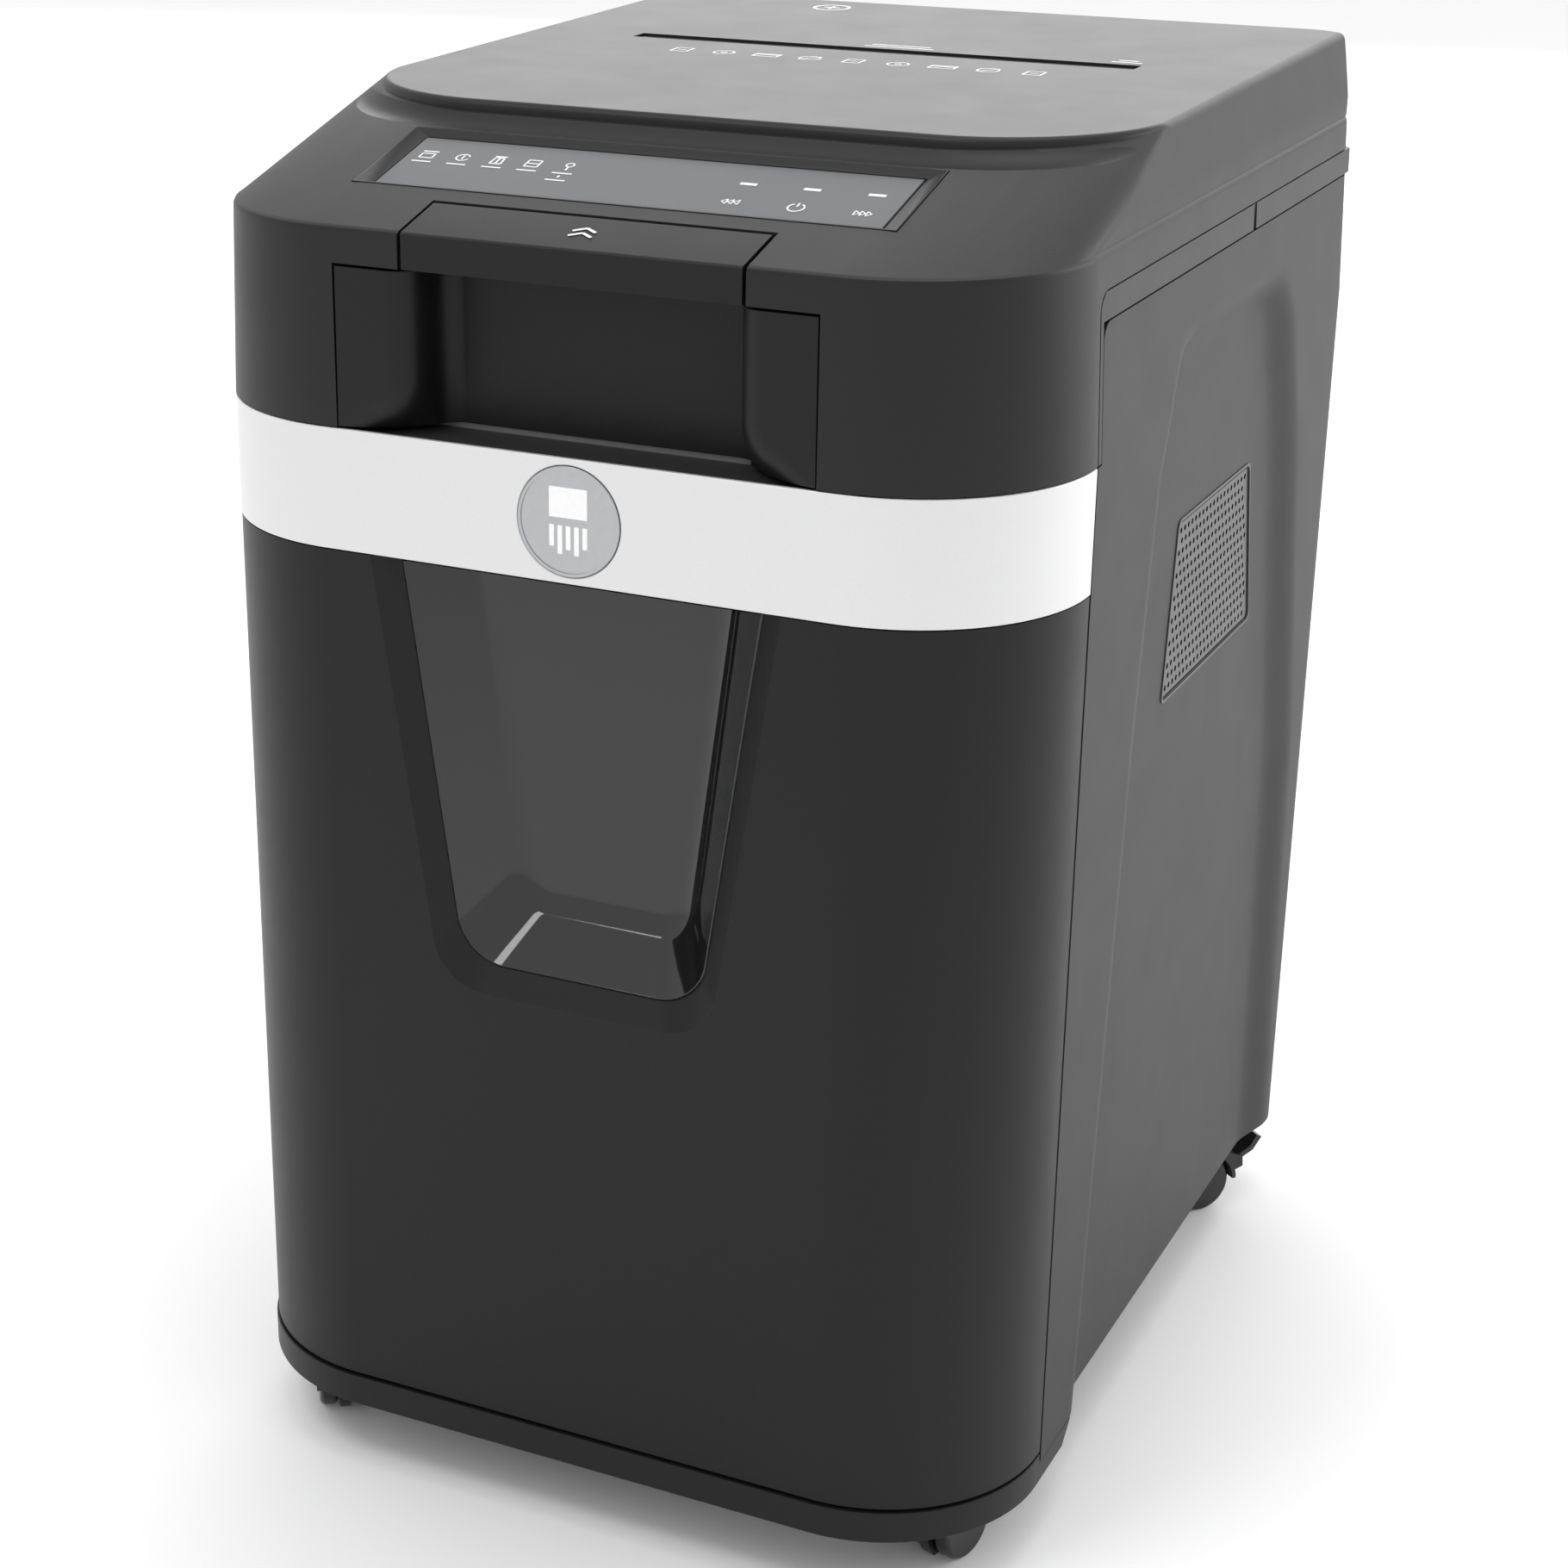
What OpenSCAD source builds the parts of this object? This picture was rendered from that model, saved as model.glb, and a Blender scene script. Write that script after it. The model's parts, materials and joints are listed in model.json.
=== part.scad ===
// Auto-feed paper shredder: lift-up lid, pull-out waste bin, two cutter shafts, casters.
// X runs across the front from left to right, -Y is the front, Z is up, and Z = 0 is the floor.

/* [Body] */
// Width across the side panels
body_w = 380; // [370:1:400]
// Depth from the front face to the rear panel
body_d = 466; // [460:1:480]
// Radius of the two front corners in plan
front_r = 77; // [60:1:85]
// Radius of the two rear corners in plan
rear_r = 20; // [12:1:26]
// Thickness of the moulded shells
shell_t = 3; // [2.5:0.5:3.5]
// Gap left along the visible seams
seam = 0.6; // [0.4:0.1:1]

/* [Heights] */
// Underside of the skirt
skirt_z = 32; // [28:1:36]
// Underside of the side panels and the base
base_z = 43; // [40:1:46]
// Bottom edge of the silver band
band_z0 = 442.5; // [430:0.5:446]
// Top edge of the silver band
band_z1 = 494; // [490:1:498]
// Joint between the side panels and the shoulder frame
shoulder_z = 549.7; // [546:0.1:551]
// Joint between the shoulder frame and the lid
lid_z = 561.7; // [560:0.1:563]
// Top edge of the head's front wall
brow_z = 576.5; // [575:0.5:580]
// Front rim of the raised tray on the lid
rim_z = 611; // [609:0.5:612]
// Rear rim of the raised tray on the lid
top_z = 615; // [614:0.5:616]

/* [Drawer and window] */
// Half width of the window at its top
win_top = 82.5; // [76:0.5:86]
// Half width of the window at its bottom
win_low = 58; // [50:0.5:64]
// Bottom edge of the window
win_z = 265; // [255:1:280]
// Depth of the clear window tub
win_d = 30; // [20:1:32]

/* [Cutter] */
// Distance of the cutter's centre line behind the middle of the body
feed_y = 79; // [76:1:82]
// Radius of one cutter disc
disc_r = 25; // [24.5:0.1:25.4]
// Thickness of one cutter disc
disc_t = 4.6; // [4:0.1:4.8]
// Distance from one disc to the next on a shaft
disc_pitch = 10; // [10:1:10]
// Number of discs on a shaft
disc_n = 22; // [10:1:22]

/* [Casters] */
// Radius of a caster wheel
wheel_r = 16; // [14:0.5:16.5]
// Distance of the casters from the middle plane
caster_x = 153; // [150:1:158]
// Distance of the front casters ahead of the centre
caster_front = 182; // [170:1:184]
// Distance of the rear casters behind the centre
caster_rear = 176; // [170:1:180]

/* [Hidden] */
half_w = body_w / 2;
front_y = -body_d / 2;
rear_y = body_d / 2;
part_y = front_y + 80;
corner_x = half_w - front_r;
corner_y = front_y + front_r;
tilt = 15.1;
rise = tan(tilt);
lean = 0.04;
big = 1000;
round_n = 64;
run_gap = 0.05;
pocket_x = 105;
pocket_y = front_y + 30;
handle_x = 73.7;
panel_x = 116.3;
panel_y0 = front_y + 42;
panel_len = 49.6;
cut_z = 455;
cut_dy = 22;
roll_z = cut_z + 60;
roll_r = 13;
plate_x = 128;
plate_t = 4;
tray_t = 3;
throat = 7;
bed_z = 521;
well_x = 114;
well_y0 = -95;
well_y1 = 208;
hinge_y = rear_y - 10;
hinge_z = lid_z + seam / 2 + 10;
hinge_x = 122;
hinge_pin_r = 3;
slot_x = 121;
chute_in = 3.4;
chute_out = 5.8;
frame_x = 168;
bin_x = 158;
strut_x = 100;
idle_y = feed_y - cut_dy - 42;
motor_y = idle_y - 29;
press_z = 538;
press_t = 3;
post_x = 84;
post_r = 4;
pivot_y = front_y + 25.5;
rim_half_w = 180.5;
rim_r = 78;
rim_corner_y = -43;
pivot_z = 576;
vent_z = 356;
fan_x = -62;
fan_z = 468;
axle_z = wheel_r;
trail = 9;

// ---- shared shapes ----

// Box given by its two opposite corners
module span(low, high) {
    translate(low) cube([high[0] - low[0], high[1] - low[1], high[2] - low[2]]);
}

// The same shape on the right and mirrored on the left
module both_sides() {
    children();
    mirror([1, 0, 0]) children();
}

// Rod along X from x0 to x1
module rod_x(x0, x1, y, z, r) {
    translate([x0, y, z]) rotate([0, 90, 0]) cylinder(h = x1 - x0, r = r, $fn = round_n);
}

// Rod along Y from y0 to y1
module rod_y(y0, y1, x, z, r) {
    translate([x, y1, z]) rotate([90, 0, 0]) cylinder(h = y1 - y0, r = r, $fn = round_n);
}

// Profile drawn as [y, z] points and drawn out along X from x0 to x1
module slab_x(x0, x1) {
    translate([x0, 0, 0]) rotate([90, 0, 90]) linear_extrude(x1 - x0) children();
}

// Profile drawn as [x, z] points and drawn out along Y from y0 to y1
module slab_y(y0, y1) {
    translate([0, y1, 0]) rotate([90, 0, 0]) linear_extrude(y1 - y0) children();
}

// Outline of the body in plan, moved inwards by inset
module plan(inset = 0) {
    w = half_w - inset;
    translate([-w, corner_y]) square([2 * w, rear_y - rear_r - corner_y]);
    translate([-corner_x, front_y + inset]) square([2 * corner_x, front_r]);
    translate([-half_w + rear_r, 0]) square([2 * (half_w - rear_r), rear_y - inset]);
    for (s = [-1, 1]) {
        translate([s * corner_x, corner_y]) circle(front_r - inset, $fn = 128);
        translate([s * (half_w - rear_r), rear_y - rear_r]) circle(rear_r - inset, $fn = round_n);
    }
}

// Wall of the body between two insets and two heights
module plan_wall(z0, z1, outer, inner) {
    translate([0, 0, z0]) linear_extrude(z1 - z0) difference() {
        plan(outer);
        plan(inner);
    }
}

// Side draft of the head: straight up to the band, then leaning in
module draft(inset = 0) {
    w = half_w - inset;
    b = lean * (brow_z + 2 - band_z1);
    right = [[w, 0], [w, band_z1], [w - b, brow_z + 2], [w - b - 6.5, rim_z], [w - b - 6.5, top_z + 9]];
    left = [for (i = [len(right) - 1 : -1 : 0]) [-right[i][0], right[i][1]]];
    slab_y(front_y - 5, rear_y + 5) polygon(concat(right, left));
}

// Toothed wheel in plan: trapezoid teeth round a root disc, rounded off short of the root
module gear_2d(teeth, m, phase = 0) {
    pitch_r = teeth * m / 2;
    root = pitch_r - 1.2 * m;
    tip = pitch_r + 0.92 * m;
    a0 = 90 / teeth * 1.16;
    a1 = 90 / teeth * 0.86;
    a2 = 90 / teeth * 0.42;
    points = [for (i = [0 : teeth - 1], k = [0 : 5])
        let (a = 360 / teeth * (i + phase) + [-a0, -a1, -a2, a2, a1, a0][k],
             r = [root, pitch_r - 0.1 * m, tip, tip, pitch_r - 0.1 * m, root][k])
        [r * cos(a), r * sin(a)]];
    polygon(points);
}

// Gear with its axis along X; zero angle of the teeth points to +Y
module gear_x(x0, x1, y, z, teeth, m, phase = 0) {
    translate([x0, y, z]) rotate([90, 0, 90]) linear_extrude(x1 - x0) gear_2d(teeth, m, phase);
}

// ---- chassis ----

module base_tray() color("#1c1c1e") difference() {
    union() {
        translate([0, 0, base_z]) linear_extrude(4) difference() {
            plan(5);
            translate([-big, part_y]) square([big - frame_x - 11, big]);
            translate([frame_x + 11, part_y]) square([big, big]);
        }
        for (x = [-1, 1], y = [-caster_front, caster_rear])
            translate([x * caster_x, y, base_z]) cylinder(h = 9, r = 9, $fn = round_n);
        for (x = [-100 : 50 : 100])
            span([x - 1, -140, base_z + 3], [x + 1, rear_y - 8, base_z + 6]);
    }
    for (x = [-1, 1], y = [-caster_front, caster_rear])
        translate([x * caster_x, y, base_z - 1])
            cylinder(h = 9, r = 4 + run_gap, $fn = round_n);
}

module front_skirt() color("#232326") {
    intersection() {
        translate([0, -1.2, 0]) plan_wall(skirt_z, base_z + 4, 0, 4);
        slab_x(-big, big) polygon([
            [front_y - 5, skirt_z], [part_y + 31, skirt_z], [part_y + 42, base_z - seam],
            [part_y - seam, base_z - seam], [part_y - seam, base_z + 4], [front_y - 5, base_z + 4]]);
    }
}

// Outline of the shallow scoop in the side panel, grown outwards by g
module scoop_2d(g = 0) polygon([
    [-107 - g, base_z - 1], [-79 - g, 357], [-64 - g, 466 + g], [-44, 512 + g], [-34, 519 + g],
    [89, 521 + g], [108, 515 + g], [130 + g, 500], [154 + g, 438], [192 + g, 267], [206 + g, base_z - 1]]);

// Outline of the vent in the side panel, grown outwards by g
module vent_2d(g = 0) polygon([
    [-20 - g, vent_z - g], [114 + g, vent_z - g], [96 + g, vent_z + 77 + g], [-10 - g, vent_z + 77 + g]]);

module side_panel() difference() {
    intersection() {
        union() {
            difference() {
                plan_wall(base_z, shoulder_z - seam / 2, 0, 4);
                span([-big, -big, 0], [half_w - rear_r - 8, big, big]);
            }
            intersection() {
                slab_x(half_w - 10, half_w - 3.5) scoop_2d(3);
                span([0, -120, base_z], [half_w, 206, shoulder_z - 10]);
            }
        }
        draft();
        slab_x(0, big) polygon([
            [part_y + 0.3, base_z], [rear_y + 5, base_z], [rear_y + 5, shoulder_z],
            [part_y + 15, shoulder_z], [part_y + 8, shoulder_z - 3], [part_y + 4.5, shoulder_z - 12],
            [part_y + 4.5, band_z1], [part_y + 0.3, band_z1]]);
    }
    slab_x(half_w - 7, half_w + 5) scoop_2d();
    slab_x(half_w - 20, half_w + 5) vent_2d(0.4);
}

module side_panel_right() color("#3a3a3d") side_panel();
module side_panel_left() color("#3a3a3d") mirror([1, 0, 0]) side_panel();

module vent_grille() {
    rows = 15;
    row_pitch = 5;
    slab_x(half_w - 9.6, half_w - 7.2) difference() {
        vent_2d();
        for (r = [0 : rows - 1]) {
            up = 3.5 + r * row_pitch;
            y0 = -16 + up * 0.13 + (r % 2) * 2.75;
            y1 = 110 - up * 0.234;
            for (y = [y0 : 5.5 : y1]) translate([y, vent_z + up]) circle(1.5, $fn = 6);
        }
    }
}

module vent_grille_right() color("#2a2a2c") vent_grille();
module vent_grille_left() color("#2a2a2c") mirror([1, 0, 0]) vent_grille();

module rear_panel() color("#2b2b2d") difference() {
    span([-half_w + rear_r + 8.4, rear_y - 3, base_z], [half_w - rear_r - 8.4, rear_y, shoulder_z - seam / 2]);
    for (x = [-34 : 8.5 : 34])
        span([fan_x + x - 2, rear_y - 5, fan_z - sqrt(1400 - x * x)], [fan_x + x + 2, rear_y + 5, fan_z + sqrt(1400 - x * x)]);
    span([96, rear_y - 5, 100], [124, rear_y + 5, 120]);
    span([64, rear_y - 5, 99], [79, rear_y + 5, 121]);
}

module shoulder_frame() color("#4a4a4d") difference() {
    intersection() {
        union() {
            plan_wall(shoulder_z + seam / 2, lid_z - seam / 2, 0, 12);
            intersection() {
                plan_wall(band_z1 + seam, lid_z - seam / 2, 0, 12);
                span([-big, part_y + 0.3, 0], [big, part_y + 3.9, big]);
            }
        }
        draft();
        span([-big, part_y + 0.3, 0], [big, big, big]);
    }
    both_sides() span([hinge_x - 6, hinge_y - 6, 0], [hinge_x + 6, hinge_y + 7, big]);
    both_sides() span([half_w - 3.2, 57, 0], [half_w + 5, 61, big]);
    slab_x(-big, big) polygon([[part_y - 1, lid_z + 1], [part_y - 1, lid_z - 8], [part_y + 2.5, lid_z - 3],
        [part_y + 8, lid_z + 1]]);
}

module pocket_insert() color("#202022") {
    both_sides() difference() {
        span([78, front_y, band_z1 + 1], [pocket_x, pocket_y + 3, lid_z - 1.2]);
        translate([handle_x + 16, 0, 0]) span([0, front_y + 3, 0], [pocket_x - handle_x - 19, pocket_y, big]);
    }
    span([-78, pocket_y, 482], [78, pocket_y + 3, lid_z - 1.2]);
    span([-30, pocket_y + 19.8, lid_z - 12], [30, well_y0 - 60, lid_z - 8]);
}

// Floor of the paper well in two halves, with gaps for the feed rollers
module feed_bed() color("#2e2e30") difference() {
    union() {
        span([-well_x, well_y0, bed_z], [well_x, feed_y - throat, bed_z + tray_t]);
        span([-well_x, feed_y + throat, bed_z], [well_x, well_y1, bed_z + tray_t]);
    }
    for (x = [-80, -28, 28, 80])
        span([x - 14, feed_y - cut_dy - 14, 0], [x + 14, feed_y + cut_dy + 14, big]);
}

// Left and right walls of the well, with their flanges
module feed_sides() color("#2e2e30") difference() {
    both_sides() {
        span([well_x, well_y0 - tray_t, bed_z], [well_x + tray_t, well_y1 + tray_t, shoulder_z]);
        span([well_x + tray_t - 0.5, front_y + 53, shoulder_z - tray_t], [frame_x + 2, well_y1 + 5, shoulder_z]);
    }
    both_sides() span([hinge_x - 6, hinge_y - 20, 0], [hinge_x + 6, hinge_y + 7, big]);
}

// Front and rear walls of the well, with their flanges
module feed_ends() color("#2e2e30") {
    span([-well_x, well_y0 - tray_t - 0.5, bed_z], [well_x, well_y0, shoulder_z]);
    span([-well_x + 0.5, front_y + 53, shoulder_z - tray_t], [well_x - 0.5, well_y0 - tray_t, shoulder_z]);
    span([-well_x, well_y1, bed_z], [well_x, well_y1 + tray_t, shoulder_z]);
}

module inner_frame() color("#8b8d90") {
    both_sides() {
        span([frame_x, -140, base_z + 4.2], [frame_x + 1.6, rear_y - 6, shoulder_z - 3.2]);
        span([frame_x - 9, rear_y - 8, base_z + 12], [frame_x, rear_y - 6.4, shoulder_z - 4]);
    }
    for (y = [feed_y - 71, feed_y + 57])
        span([-frame_x + 0.1, y, cut_z - 56], [frame_x - 0.1, y + 14, cut_z - 50]);
}

module drawer_rails() color("#9da0a3") both_sides() {
    span([frame_x - 1.6, part_y + 12, 68], [frame_x - 0.05, rear_y - 10, 94]);
    for (z = [68, 92.4]) span([frame_x - 7, part_y + 12, z], [frame_x - 1.6, rear_y - 10, z + 1.6]);
}

// Steel side plate of the cutter block from x outwards, front edge at y0; above the
// drive its front edge steps back to y1
module cutter_plate(x, y0, y1) difference() {
    span([x, y0, cut_z - 50], [x + plate_t, feed_y + 71, roll_z + 13]);
    for (s = [-1, 1]) {
        rod_x(x - 1, x + plate_t + 1, feed_y + s * cut_dy, cut_z, 12 + run_gap);
        rod_x(x - 1, x + plate_t + 1, feed_y + s * cut_dy, roll_z, 5 + run_gap);
    }
    for (p = rod_spots()) rod_x(x - 1, x + plate_t + 1, p[0], p[1], 4 + run_gap);
    rod_x(x - 1, x + plate_t + 1, motor_y, cut_z, 7);
    rod_x(x - 1, x + plate_t + 1, idle_y, cut_z, 4 + run_gap);
    span([x - 1, y0 - 1, cut_z + 32], [x + plate_t + 1, y1, big]);
}

// Centres of the four tie rods as [y, z]
function rod_spots() = [[feed_y - 65, cut_z - 43], [feed_y + 63, cut_z - 43],
    [feed_y - 65, cut_z + 45], [feed_y + 63, cut_z + 45]];

module cutter_plate_left() color("#9a9da0") cutter_plate(-plate_x - plate_t, feed_y - 73, feed_y - 73.5);
module cutter_plate_right() color("#9a9da0") cutter_plate(plate_x, motor_y - 34, motor_y + 12);

module tie_rods() color("#b5b8ba") for (p = rod_spots()) {
    rod_x(-plate_x - plate_t - 6, plate_x + plate_t + 6, p[0], p[1], 4);
    for (s = [-1, 1]) translate([s * (plate_x + plate_t + 2.3), p[0], p[1]]) rotate([0, 90, 0])
        difference() {
            cylinder(h = 4, r = 6.5, center = true, $fn = 6);
            cylinder(h = 5, r = 4.02, center = true, $fn = round_n);
        }
}

module cutter_bushes() color("#b08d57") for (x = [-plate_x - plate_t / 2, plate_x + plate_t / 2], s = [-1, 1])
    translate([x, feed_y + s * cut_dy, cut_z]) rotate([0, 90, 0]) difference() {
        cylinder(h = plate_t, r = 12, center = true, $fn = round_n);
        cylinder(h = plate_t + 2, r = 8 + run_gap, center = true, $fn = round_n);
    }

module stripper_combs() color("#3b3b3e") for (s = [-1, 1]) difference() {
    union() {
        span([-plate_x + 0.2, feed_y + s * 56 - 3, cut_z - 12], [plate_x - 0.2, feed_y + s * 56 + 3, cut_z + 12]);
        for (i = [0 : disc_n - 2]) {
            x = disc_x(i, s) + disc_pitch / 2;
            y = feed_y + s * 47;
            span([x - 1.9, y - 7, cut_z - 8], [x + 1.9, y + 7, cut_z + 8]);
        }
    }
    rod_x(-big, big, feed_y + s * cut_dy, cut_z, 18.2);
}

module motor_can() color("#6d7073") difference() {
    union() {
        rod_x(14, plate_x - 0.2, motor_y, cut_z, 28);
        rod_x(2, 14, motor_y, cut_z, 20);
    }
    rod_x(40, plate_x + 5, motor_y, cut_z, 5);
}

module gearbox_plate() color("#8f9295") {
    difference() {
        span([166, motor_y - 20, cut_z - 45], [167.6, feed_y + 30, cut_z + 27]);
        rod_x(160, 170, feed_y - cut_dy, cut_z, 8 + run_gap);
        rod_x(160, 170, motor_y, cut_z, 6);
    }
    rod_x(plate_x + plate_t, 166, idle_y, cut_z, 4);
    rod_x(plate_x, plate_x + plate_t, idle_y, cut_z, 4);
    for (p = [[motor_y - 14, 22], [motor_y - 14, -22], [feed_y + 6, -40]])
        rod_x(plate_x + plate_t, 166, p[0], cut_z + p[1], 3.5);
}

module fan_frame() color("#2a2a2c") difference() {
    span([fan_x - 40, rear_y - 28, fan_z - 40], [fan_x + 40, rear_y - 3.4, fan_z + 40]);
    rod_y(rear_y - 25.5, rear_y, fan_x, fan_z, 37.5);
    for (a = [0 : 45 : 315]) translate([fan_x, 0, fan_z]) rotate([0, a, 0])
        span([-6, rear_y - 35, 17], [6, rear_y - 20, 34]);
    rod_y(rear_y - 40, rear_y - 20, fan_x, fan_z, 2 + run_gap);
}

module power_board() color("#2f5d3a") {
    span([-16, rear_y - 12, 426], [108, rear_y - 10.4, 506]);
    rod_y(rear_y - 38, rear_y - 12, 6, 446, 9);
    rod_y(rear_y - 34, rear_y - 12, 30, 444, 7);
    span([48, rear_y - 38, 432], [84, rear_y - 12, 462]);
    span([-12, rear_y - 30, 476], [24, rear_y - 12, 496]);
    for (x = [36 : 15 : 96]) span([x, rear_y - 27, 478], [x + 9, rear_y - 12, 494]);
}

module power_inlet() color("#161618") {
    difference() {
        union() {
            span([96.4, rear_y - 26, 100.4], [123.6, rear_y - 0.2, 119.6]);
            span([90, rear_y, 97], [130, rear_y + 1.2, 123]);
        }
        span([98.4, rear_y - 18, 102.4], [121.6, rear_y + 5, 117.6]);
    }
    for (x = [103, 110, 117]) span([x - 1, rear_y - 18, 108], [x + 1, rear_y - 3, 112]);
}

module case_screws() color("#5a5c5e") for (x = [-154, 154], z = [70, 300, 530])
    translate([x, rear_y, z]) rotate([-90, 0, 0]) difference() {
        cylinder(h = 1.2, r = 4, $fn = round_n);
        for (a = [0, 90]) rotate([0, 0, a]) translate([-2.2, -0.5, 0.4]) cube([4.4, 1, 2]);
    }

module hinge_brackets() color("#a8abad") both_sides() {
    span([hinge_x - 5, hinge_y - 5.5, 500], [hinge_x + 5, hinge_y + 5.5, hinge_z]);
    span([hinge_x - 5, hinge_y + 5.5, 500], [hinge_x + 5, rear_y - 3.2, shoulder_z - 1]);
    rod_x(hinge_x - 5, hinge_x + 5, hinge_y, hinge_z, 5.5);
    rod_x(hinge_x - 13, hinge_x + 13, hinge_y, hinge_z, hinge_pin_r);
}

// ---- drawer ----

// Window opening as [x, z] points, grown outwards by g, up to the height top
// Outline of the window, moved out by g and cut off at height top
module window_2d(g = 0, top = 440) intersection() {
    offset(delta = g) {
        slope = (win_top - win_low) / (band_z0 - win_z);
        polygon([[-win_top - 20 * slope, band_z0 + 20], [-win_low - 18 * slope, win_z + 18],
            [-win_low + 5, win_z + 6], [-win_low + 16, win_z], [win_low - 16, win_z], [win_low - 5, win_z + 6],
            [win_low + 18 * slope, win_z + 18], [win_top + 20 * slope, band_z0 + 20]]);
    }
    translate([-half_w, 0]) square([body_w, top]);
}

module drawer_front() color("#252528") difference() {
    union() {
        difference() {
            plan_wall(base_z + 5, band_z0 - 0.2, 0.3, 4.3);
            span([-big, part_y - seam / 2, 0], [big, big, big]);
        }
        difference() {
            plan_wall(band_z0 - 0.2, band_z1 - 1, 2.5, 5.5);
            span([-big, part_y - seam / 2, 0], [big, big, big]);
        }
        intersection() {
            plan_wall(band_z0 - 4, band_z0 - 0.2, 0.3, 5.5);
            span([-big, -big, 0], [big, part_y - seam / 2, big]);
        }
    }
    slab_y(front_y - 5, front_y + 20) window_2d(0.4);
    slab_y(front_y - 5, front_y + 2) window_2d(8);
}

module silver_band() color("#d9dadb") difference() {
    plan_wall(band_z0, band_z1, 0, 2.45);
    span([-big, part_y - seam / 2, 0], [big, big, big]);
    rod_y(front_y - 5, front_y + 1.3, 0, (band_z0 + band_z1) / 2, 23);
}

module badge() color("#8a8c8f") rod_y(front_y, front_y + 1.25, 0, (band_z0 + band_z1) / 2, 22.8);

module window() color([0.12, 0.12, 0.13, 0.6]) difference() {
    union() {
        slab_y(front_y + 2.2, front_y + 4.2) window_2d(0.1, 438);
        hull() {
            slab_y(front_y + 4.2, front_y + 5.4) window_2d(-1, 437);
            slab_y(front_y + win_d + 1, front_y + win_d + 2.4) window_2d(-18.5, 432);
        }
    }
    hull() {
        slab_y(front_y + 1, front_y + 3) window_2d(-3, 435);
        slab_y(front_y + win_d - 1, front_y + win_d) window_2d(-21, 429.5);
    }
}

module bin_tub() color([0.2, 0.2, 0.21]) {
    difference() {
        span([-bin_x, front_y + 38, 54], [bin_x, 186, 392]);
        span([-bin_x + 2.4, front_y + 40.4, 56.4], [bin_x - 2.4, 183.6, big]);
    }
    both_sides() {
        span([bin_x, front_y + 40, 74], [bin_x + 7.5, 184, 88]);
        span([strut_x, front_y + 4.6, 100], [strut_x + 3, front_y + 37.9, 240]);
    }
}

module drawer_pull() color("#1a1a1c")
    slab_x(-98, 98) polygon([[front_y + 5.6, band_z1 - 2], [front_y + 5.6, band_z1 - 5],
        [front_y + 25, band_z1 - 8], [front_y + 28.5, band_z1 - 8], [front_y + 28.5, band_z1 - 5]]);

// ---- lid ----

// Raised tray on top of the lid with rounded front corners
module tray_form(inset) intersection() {
    translate([0, 0, brow_z + 10]) linear_extrude(big) {
        w = rim_half_w - inset;
        translate([-w, rim_corner_y]) square([2 * w, rear_y - inset - rim_corner_y]);
        translate([rim_r - rim_half_w, rim_corner_y - rim_r + inset]) square([2 * (rim_half_w - rim_r), rim_r]);
        for (s = [-1, 1]) translate([s * (rim_half_w - rim_r), rim_corner_y]) circle(rim_r - inset, $fn = 96);
    }
    slab_x(-big, big) polygon([[-140, brow_z], [-119, rim_z - 1.5 - inset], [-114, rim_z - inset],
        [rear_y - 8, top_z - inset], [rear_y - inset, top_z - 5 - inset], [rear_y - inset, brow_z]]);
}

// Lugs under the sloping top that hold the handle's pin
module pin_lugs() both_sides() difference() {
    slab_x(66, 69) polygon([[pivot_y - 4, pivot_z - 3], [pivot_y, pivot_z - 5], [front_y + 40, pivot_z - 5],
        [front_y + 40, brow_z + 40 * rise - 1.5], [front_y + 30, brow_z + 30 * rise - 1.5],
        [front_y + 28, pivot_z + 2.9], [pivot_y - 3, pivot_z + 2.9]]);
    rod_x(60, 80, pivot_y, pivot_z, 2 + run_gap);
}

module lid_shell() color("#343437") {
    lid_wall();
    pin_lugs();
}

module lid_wall() difference() {
    intersection() {
        union() {
            slope_form(0, band_z1 + seam);
            tray_form(0);
        }
        draft();
    }
    intersection() {
        union() {
            slope_form(shell_t, 0);
            tray_form(shell_t);
        }
        draft(shell_t);
    }
    // open below the seam, behind the corners
    span([-big, part_y - seam / 2, 0], [big, big, lid_z + seam / 2]);
    span([-pocket_x - seam, front_y - 5, 0], [pocket_x + seam, part_y, lid_z]);
    // rear lower edge rounded about the hinge line
    difference() {
        span([-big, hinge_y, 0], [big, rear_y + 5, hinge_z]);
        rod_x(-big, big, hinge_y, hinge_z, 10);
    }
    rod_x(-half_w + shell_t, half_w - shell_t, hinge_y, hinge_z, 7);
    both_sides() span([hinge_x - 5.6, hinge_y - 8, 0], [hinge_x + 5.6, rear_y + 5, hinge_z + 10]);
    // handle, panel and slot openings
    span([-handle_x - seam, front_y - 5, 0], [handle_x + seam, front_y + 28.4, big]);
    on_slope() span([-panel_x - 0.4, -0.4, -9], [panel_x + 0.4, panel_len + 0.4, 9]);
    span([-slot_x - 3, feed_y - 6.2, rim_z - 20], [slot_x + 3, feed_y + 6.2, big]);
}

// Head block with the sloping top, down to height z0
module slope_form(inset, z0) intersection() {
    translate([0, 0, z0]) linear_extrude(big) plan(inset);
    hull() {
        translate([0, 0, z0 - 1]) linear_extrude(brow_z - inset - z0 + 0.8) plan(inset - 0.8);
        translate([0, 220, 0]) linear_extrude(brow_z - inset + 220 * rise) plan(inset - 0.8);
    }
    span([-big, -big, 0], [big, big, rim_z - inset]);
}

// Frame that lies on the sloping top: X across, Y up the slope, Z out of it, origin at the panel's front edge
module on_slope() translate([0, panel_y0, brow_z + (panel_y0 - front_y) * rise]) rotate([tilt, 0, 0]) children();

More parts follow.
